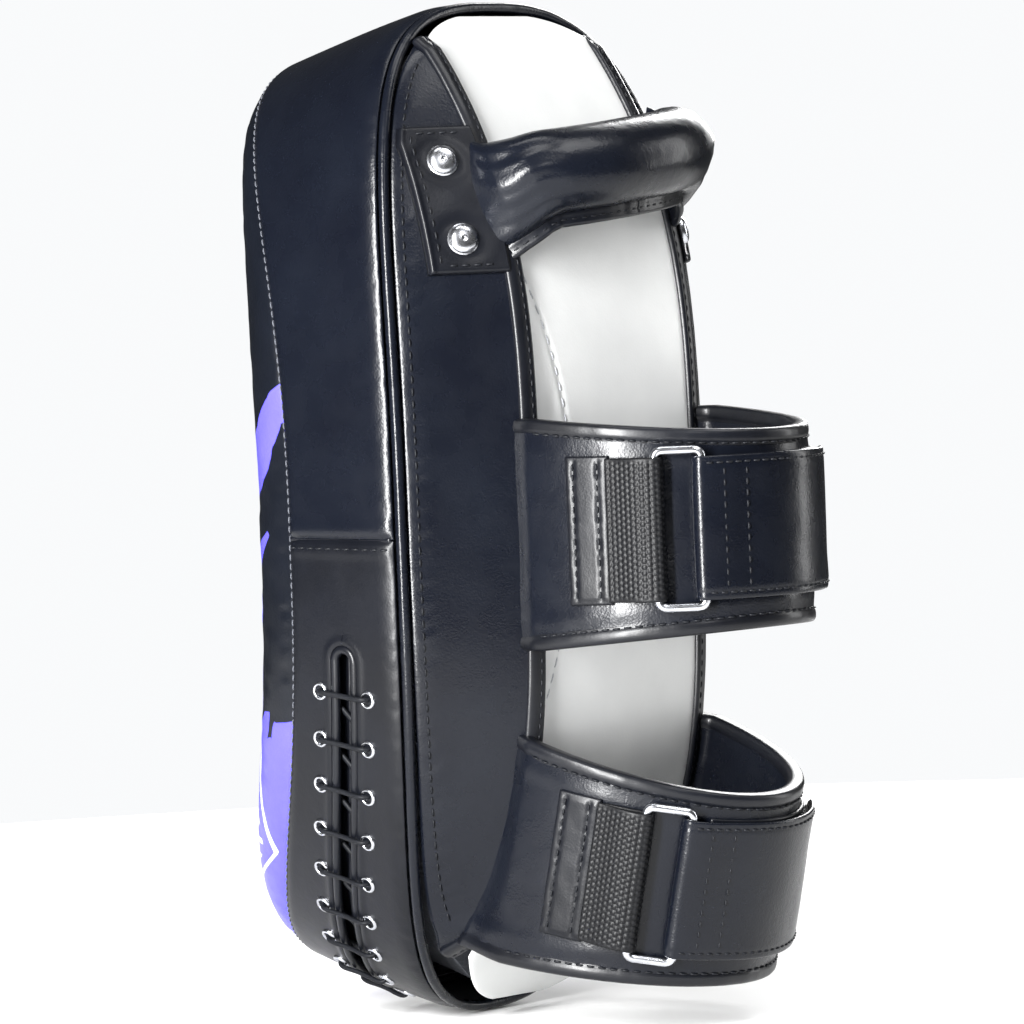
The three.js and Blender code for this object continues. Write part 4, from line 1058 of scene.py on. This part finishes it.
def leg_foot(strap, x, height):
    """How far down a leg goes, in the strap's own axes, before it meets the pad."""
    low, high = np.full(x.shape, -30.0), np.full(x.shape, 27.0)
    for _ in range(30):
        middle = (low + high) / 2
        at = strap_to_pad(strap, np.stack([x, middle], -1), height)
        seat = np.maximum(back_y(at[..., 0], at[..., 2]), forearm_y(at[..., 2]) - LEG_DROP)
        inside = at[..., 1] < seat - 1.0
        low, high = np.where(inside, middle, low), np.where(inside, high, middle)
    return high


def strap_half(degrees):
    return mix(STRAP.base, STRAP.peak, np.sin(np.radians(degrees)))


def strap_band(strap, section_at):
    """A band from leg to leg. section_at gives offsets and heights for each row's half height."""
    degrees = np.concatenate([np.zeros(LEG_ROWS), np.linspace(0, 180, ARC_ROWS), np.full(LEG_ROWS, 180)])
    down = np.linspace(1, 0, LEG_ROWS, endpoint=False)
    leg = np.concatenate([down, np.zeros(ARC_ROWS), down[::-1]])[:, None]
    offset, height = section_at(strap_half(degrees)[:, None], (np.arange(len(degrees)) * 1.9)[:, None])
    spot = strap_spot(degrees[:, None], offset)
    x = spot[..., 0] - np.sign(spot[..., 0]) * LEG_TUCK * smooth(leg)
    rise = np.where(leg > 0, mix(spot[..., 1], leg_foot(strap, x, height), leg), spot[..., 1])
    return capped(strap_to_pad(strap, np.stack([x, rise], -1), height))


def add_cuff(strap):
    offset, share, past, crown, _ = band_section(STRAP.thick / 2, 60).T
    seed = 61 + STRAPS[strap].seed

    def padding(half, run):
        height = share * (half - 2.0 - STRAP.thick / 2) + past
        swell = crown * (0.25 + 0.5 * bell((np.abs(height) - half + 10.5) / 3.2))
        wave = 0.3 * crease(run / 21, height / 24, seed) + 0.1 * crease(run / 5, height / 6, seed + 1)
        return offset + swell + wave, height

    piece(f"{strap}_cuff_leather", strap_band(strap, padding), gloss, f"{strap}_cuff")
    turn = turns(36)
    across = signed_power(np.cos(turn), 0.7) * 3.5
    deep = signed_power(np.sin(turn), 0.55) * 3.3
    deep = deep * (1 - 0.17 * bell((across + 2.0) / 0.8))
    for edge, way in (("top", 1), ("bottom", -1)):
        def binding(half, run):
            wave = 1 + 0.03 * ripple(run / 3.3, seed + 2 + way)
            return deep * wave, way * (half - 3.5 + across + 0 * run)

        name = f"{strap}_edge_{edge}"
        piece(name, strap_band(strap, binding), trim, f"{strap}_binding_{edge}")
        degrees = np.linspace(1, 179, 300)
        height = way * (strap_half(degrees) - 5.5)
        path, tips = (strap_to_pad(strap, strap_spot(degrees, lift), height) for lift in (2.95, 3.95))
        piece(f"{name}_stitches", stitch_run(path, tips - path, lift=0.0), thread)


def strap_strip(strap, path, half_thick, half_height, relief, rows=150, flat_steps=60, round_end=0.0):
    """A flat strip of the strap's hardware, swept along a path in the strap's own plane."""
    at = run_along(path)
    run = np.linspace(0, at[-1], rows)
    path = sampled(run, at, path)
    tangent = unit(np.gradient(path, axis=0))
    normal = np.stack([tangent[:, 1], -tangent[:, 0]], -1)
    offset, share, past, crown, outer = band_section(half_thick, flat_steps).T
    run, left = run[:, None], run[-1] - run[:, None]
    narrow = np.minimum(1, 1 - round_end / half_height * (1 - fillet(left, max(round_end, 0.1))))
    height = (share * (half_height - half_thick) + past) * narrow
    depth = offset * (0.45 + 0.55 * fillet(left, 1.5)) * (0.45 + 0.55 * fillet(run, 1.5))
    depth = depth + outer * relief(run, height, left) * np.minimum(crown * 4, 1)
    spot = path[:, None] + normal[:, None] * depth[..., None]
    return capped(strap_to_pad(strap, spot, RING.z + height)), path, normal


def strip_seams(name, strap, path, normal, rows, body="root"):
    """Stitches on a strip. A row is its lift, first and last share of the run, and two heights."""
    runs = []
    for lift, first, last, low, high in rows:
        first, last = (int(share * (len(path) - 1)) for share in (first, last))
        if first == last:
            spot = np.repeat(path[first:first + 1] + normal[first] * lift, 80, 0)
            up = np.repeat(normal[first:first + 1], 80, 0)
        else:
            spot, up = path[first:last] + normal[first:last] * lift, normal[first:last]
        level = RING.z + np.linspace(low, high, len(spot))
        line = strap_to_pad(strap, spot, level)
        runs.append(stitch_run(line, strap_to_pad(strap, spot + up, level) - line, pitch=3.9, lift=0.0))
    piece(f"{strap}_{name}_stitches", joined(runs), thread, body=body)


def half_turn(bar, normal, radius, side):
    across = np.array([-normal[1], normal[0]]) * side
    turn = np.linspace(0, math.pi, 24)[:, None]
    return bar - normal * radius * np.cos(turn) + across * radius * np.sin(turn)


def ring_bar(degrees):
    """One of the ring's two long bars, and the outward normal there."""
    return strap_spot(degrees, RING.offset), strap_spot(degrees, 1.0) - strap_spot(degrees, 0.0)


def woven(run, height, left):
    column = run / TAPE.column
    dash = height / TAPE.dash + 0.5 * (np.floor(column) % 2)
    lump = np.abs(np.sin(math.pi * column)) ** 0.6 * np.abs(np.sin(math.pi * dash)) ** 0.7
    return TAPE.depth * lump - 0.1


def add_ring(strap):
    seed = 81 + STRAPS[strap].seed

    def ring_tab(run, height, left):
        edge = np.minimum(np.minimum(run, left), TAPE_HALF + 1 - np.abs(height))
        columns = bell((run - 3.4) / 1.1) + bell((left - 4.2) / 1.1)
        pinch = 0.7 + 0.3 * ripple(height / 2.1, seed)
        return 0.5 * fillet(edge, 4) - 0.55 * columns * pinch + 0.15 * crease(run / 5, height / 7, seed)

    path = strap_spot(np.linspace(13, 26.6, 60), FACE + TAIL_HALF)
    shape, path, normal = strap_strip(strap, path, TAIL_HALF, TAPE_HALF + 1, ring_tab, 60, 120)
    piece(f"{strap}_tab_leather", shape, matte, f"{strap}_ring_tab")
    strip_seams("tab", strap, path, normal, [(1.0, share, share, -26, 26) for share in (0.2, 0.75)])

    (bar, outward), (free_bar, _) = ring_bar(RING.fixed), ring_bar(RING.free)
    angles = np.linspace(25.8, RING.fixed - 2, 30)
    share = smooth((angles - angles[0]) / (angles[-1] - angles[0]))
    outer = strap_spot(angles, mix(FACE + 2.3, RING.offset + TAPE.turn, share))
    wrap = half_turn(bar, outward, TAPE.turn, 1)[::-1]
    inner = strap_spot(angles, mix(FACE + 0.9, RING.offset - TAPE.turn, share))[::-1][:-4]
    path = np.vstack([outer, wrap, inner])
    shape, _, _ = strap_strip(strap, path, TAPE.half, TAPE_HALF, woven, flat_steps=170)
    piece(f"{strap}_woven_tape", shape, tape, f"{strap}_ring_webbing")

    low, high = RING.z - RING.half_height, RING.z + RING.half_height
    corners = [strap_to_pad(strap, at, level)
               for at, level in ((bar, low), (free_bar, low), (free_bar, high), (bar, high))]
    path = []
    t = np.linspace(0, 1, 10)[:, None]
    for i, corner in enumerate(corners):
        following = corners[(i + 1) % 4]
        before, after = unit(corners[i - 1] - corner), unit(following - corner)
        start, end = corner + before * 3.6, corner + after * 3.6
        path.append((1 - t) ** 2 * start + 2 * t * (1 - t) * corner + t * t * end)
        path.append(mix(end, following - after * 3.6, np.linspace(0, 1, 14)[1:-1, None]))
    path = np.vstack(path)
    facing = unit(np.cross(corners[1] - corners[0], corners[2] - corners[1]))
    shape = tube(path, RING.wire, 16, closed=True, normals=np.tile(facing, (len(path), 1)))
    piece(f"{strap}_loop_ring", shape, chrome, f"{strap}_ring", f"{strap}_ring")


def plain_relief(seed, swell=0.25):
    def relief(run, height, left):
        edge = TAPE_HALF - np.abs(height)
        groove = 0.35 * bell((edge - 2.8) / 0.7)
        return swell * fillet(edge, 4) - groove + 0.2 * crease(run / 14, height / 12, seed)
    return relief


def pile(run, height, left):
    return 0.3 * np.random.default_rng(5).random(np.broadcast(run, height).shape)


def add_tail(strap):
    flap = f"{strap}_flap"
    seed = 101 + STRAPS[strap].seed
    path = strap_spot(np.linspace(62, 156, 120), FACE + TAIL_HALF)
    shape, path, normal = strap_strip(strap, path, TAIL_HALF, TAPE_HALF, plain_relief(seed, 0.1))
    piece(f"{strap}_tail_leather", shape, matte, f"{strap}_tail_base")
    strip_seams("tail", strap, path, normal, [(0.85, 0.02, 0.98, z, z) for z in (-24.6, 24.6)])

    base = FACE + 2 * TAIL_HALF
    piles = (("loop", 72, 150, 0.7, 0.4, 240, "root"), ("hook", 76, 130, 1.75, 0.35, 200, flap))
    for name, first, last, lift, half, rows, body in piles:
        path = strap_spot(np.linspace(first, last, 120), base + lift)
        shape, _, _ = strap_strip(strap, path, half, TAPE_HALF - 3, pile, rows, 90)
        piece(f"{strap}_{name}_pile", shape, loops, f"{strap}_{name}_patch", body)

    bar, outward = ring_bar(RING.free)
    turn_radius = RING.wire + 0.4 + TAIL_HALF
    settle, lift = 73, base + 2.4 + TAIL_HALF  # where the tail lies down again, in degrees and out
    angles = np.linspace(RING.free + 1, settle, 24)
    share = smooth((angles - RING.free) / (settle - RING.free))
    path = np.vstack([half_turn(bar, outward, turn_radius, -1),
                      strap_spot(angles, mix(RING.offset + turn_radius, lift, share)),
                      strap_spot(np.linspace(settle + 1, 132, 80), lift)])
    shape, path, normal = strap_strip(strap, path, TAIL_HALF, TAPE_HALF, plain_relief(seed + 3), 260,
                                      round_end=7)
    piece(f"{strap}_flap_leather", shape, gloss, flap, flap)
    rows = [(0.95, 0.1, 0.93, z, z) for z in (-24.3, 24.3)]
    rows += [(1.0, share, share, -23, 23) for share in (0.17, 0.27)]
    strip_seams("flap", strap, path, normal, rows, flap)


# ---- camera, light and floor ----
LIGHTS = {  # azimuth, elevation, distance, width, height, watts
    "key_strip": (98, 8, 1.5, 0.2, 1.3, 125),
    "panel_box": (195, 62, 1.8, 0.9, 0.8, 15),
    "camera_left": (150, 34, 1.9, 0.2, 0.5, 5),
    "front_box": (-66, 24, 1.8, 0.4, 1.1, 22),
    "left_strip": (-120, 12, 1.7, 0.25, 1.2, 9),
    "overhead": (60, 84, 1.7, 0.6, 0.6, 7),
}
FLOOR_RADIUS = 1.0
WORLD = Sizes(colour=(0.95, 0.96, 0.97, 1), light=0.055, seen=1.0)  # strength as light, and as seen


def aimed(made, target, azimuth, elevation, distance, roll=0.0):
    """Puts a lamp or the camera at an angle and distance from a target, facing it."""
    a, e = math.radians(azimuth), math.radians(elevation)
    way = Vector((math.sin(a) * math.cos(e), -math.cos(a) * math.cos(e), math.sin(e)))
    place = target + way * distance
    away = (place - target).normalized()
    right = Vector((0, 0, 1)).cross(away).normalized()
    up = away.cross(right)
    c, s = math.cos(math.radians(roll)), math.sin(math.radians(roll))
    axes = Matrix((right * c + up * s, up * c - right * s, away)).transposed()
    made.matrix_world = Matrix.Translation(place) @ axes.to_4x4()
    bpy.context.scene.collection.objects.link(made)


def add_camera():
    camera = bpy.data.cameras.new("camera")
    camera.lens = CAMERA.lens
    camera.shift_x, camera.shift_y = CAMERA.shift
    camera.clip_end = 20
    made = bpy.data.objects.new("camera", camera)
    aimed(made, CAMERA_TARGET, CAMERA.azimuth, CAMERA.elevation, CAMERA.distance, CAMERA.roll)
    bpy.context.scene.camera = made


def add_studio():
    for name, (azimuth, elevation, distance, width, height, watts) in LIGHTS.items():
        lamp = bpy.data.lights.new(name, "AREA")
        lamp.shape = "RECTANGLE"
        lamp.size, lamp.size_y, lamp.energy = width, height, watts
        aimed(bpy.data.objects.new(name, lamp), Vector((0, 0, 0)), azimuth, elevation, distance)
    world = bpy.data.worlds.new("studio")
    world.use_nodes = True
    tree = world.node_tree
    back = tree.nodes["Background"]
    seen = tree.nodes.new("ShaderNodeLightPath").outputs["Is Camera Ray"]
    strength = tree.nodes.new("ShaderNodeMapRange")
    strength.inputs["To Min"].default_value = WORLD.light
    strength.inputs["To Max"].default_value = WORLD.seen
    tree.links.new(seen, strength.inputs["Value"])
    tree.links.new(strength.outputs[0], back.inputs["Strength"])
    back.inputs["Color"].default_value = WORLD.colour
    bpy.context.scene.world = world
    bpy.context.scene.view_settings.view_transform = "Standard"

    mesh = bpy.data.meshes.new("floor")
    level = cad_low[2] - 0.0005
    rim = [(math.cos(t) * FLOOR_RADIUS, math.sin(t) * FLOOR_RADIUS, level) for t in turns(96)]
    mesh.from_pydata(rim, [], [list(range(len(rim)))])
    paint = Paint("floor", 0.7)
    paint.set(Base_Color=paint.tinted(paint.noise(3), "#f0f0ef", "#f6f6f6"))
    mesh.materials.append(paint.material)
    floor = bpy.data.objects.new("floor", mesh)
    bpy.context.scene.collection.objects.link(floor)


def dress_hidden_nodes():
    """The CAD parts that stay as they are."""
    finishes = dict.fromkeys(("strike_foam", "core_foam", "forearm_foam", "handle_padding"), foam)
    finishes["handle_core"] = rope
    for side, _ in SIDES:
        for level in RIVET_SPOTS:
            finishes[f"rivet_washer_{level}_{side}"] = chrome
    for name, material in finishes.items():
        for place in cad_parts[name].material_slots:
            place.link = "OBJECT"
            place.material = material


add_camera()
add_studio()
dress_hidden_nodes()
add_strike_face()
add_sides()
add_side_seams()
add_lacing()
add_slot_hem()
add_back_piping()
for side, sign in SIDES:
    add_slope(side, sign)
    add_rail(side, sign)
    add_tab(side, sign)
add_forearm_panel()
for side, sign in SIDES:
    add_slope_stitches(side, sign)
for side, sign in SIDES:
    add_grip(side, sign)
for strap in STRAPS:
    add_cuff(strap)
    add_ring(strap)
    add_tail(strap)
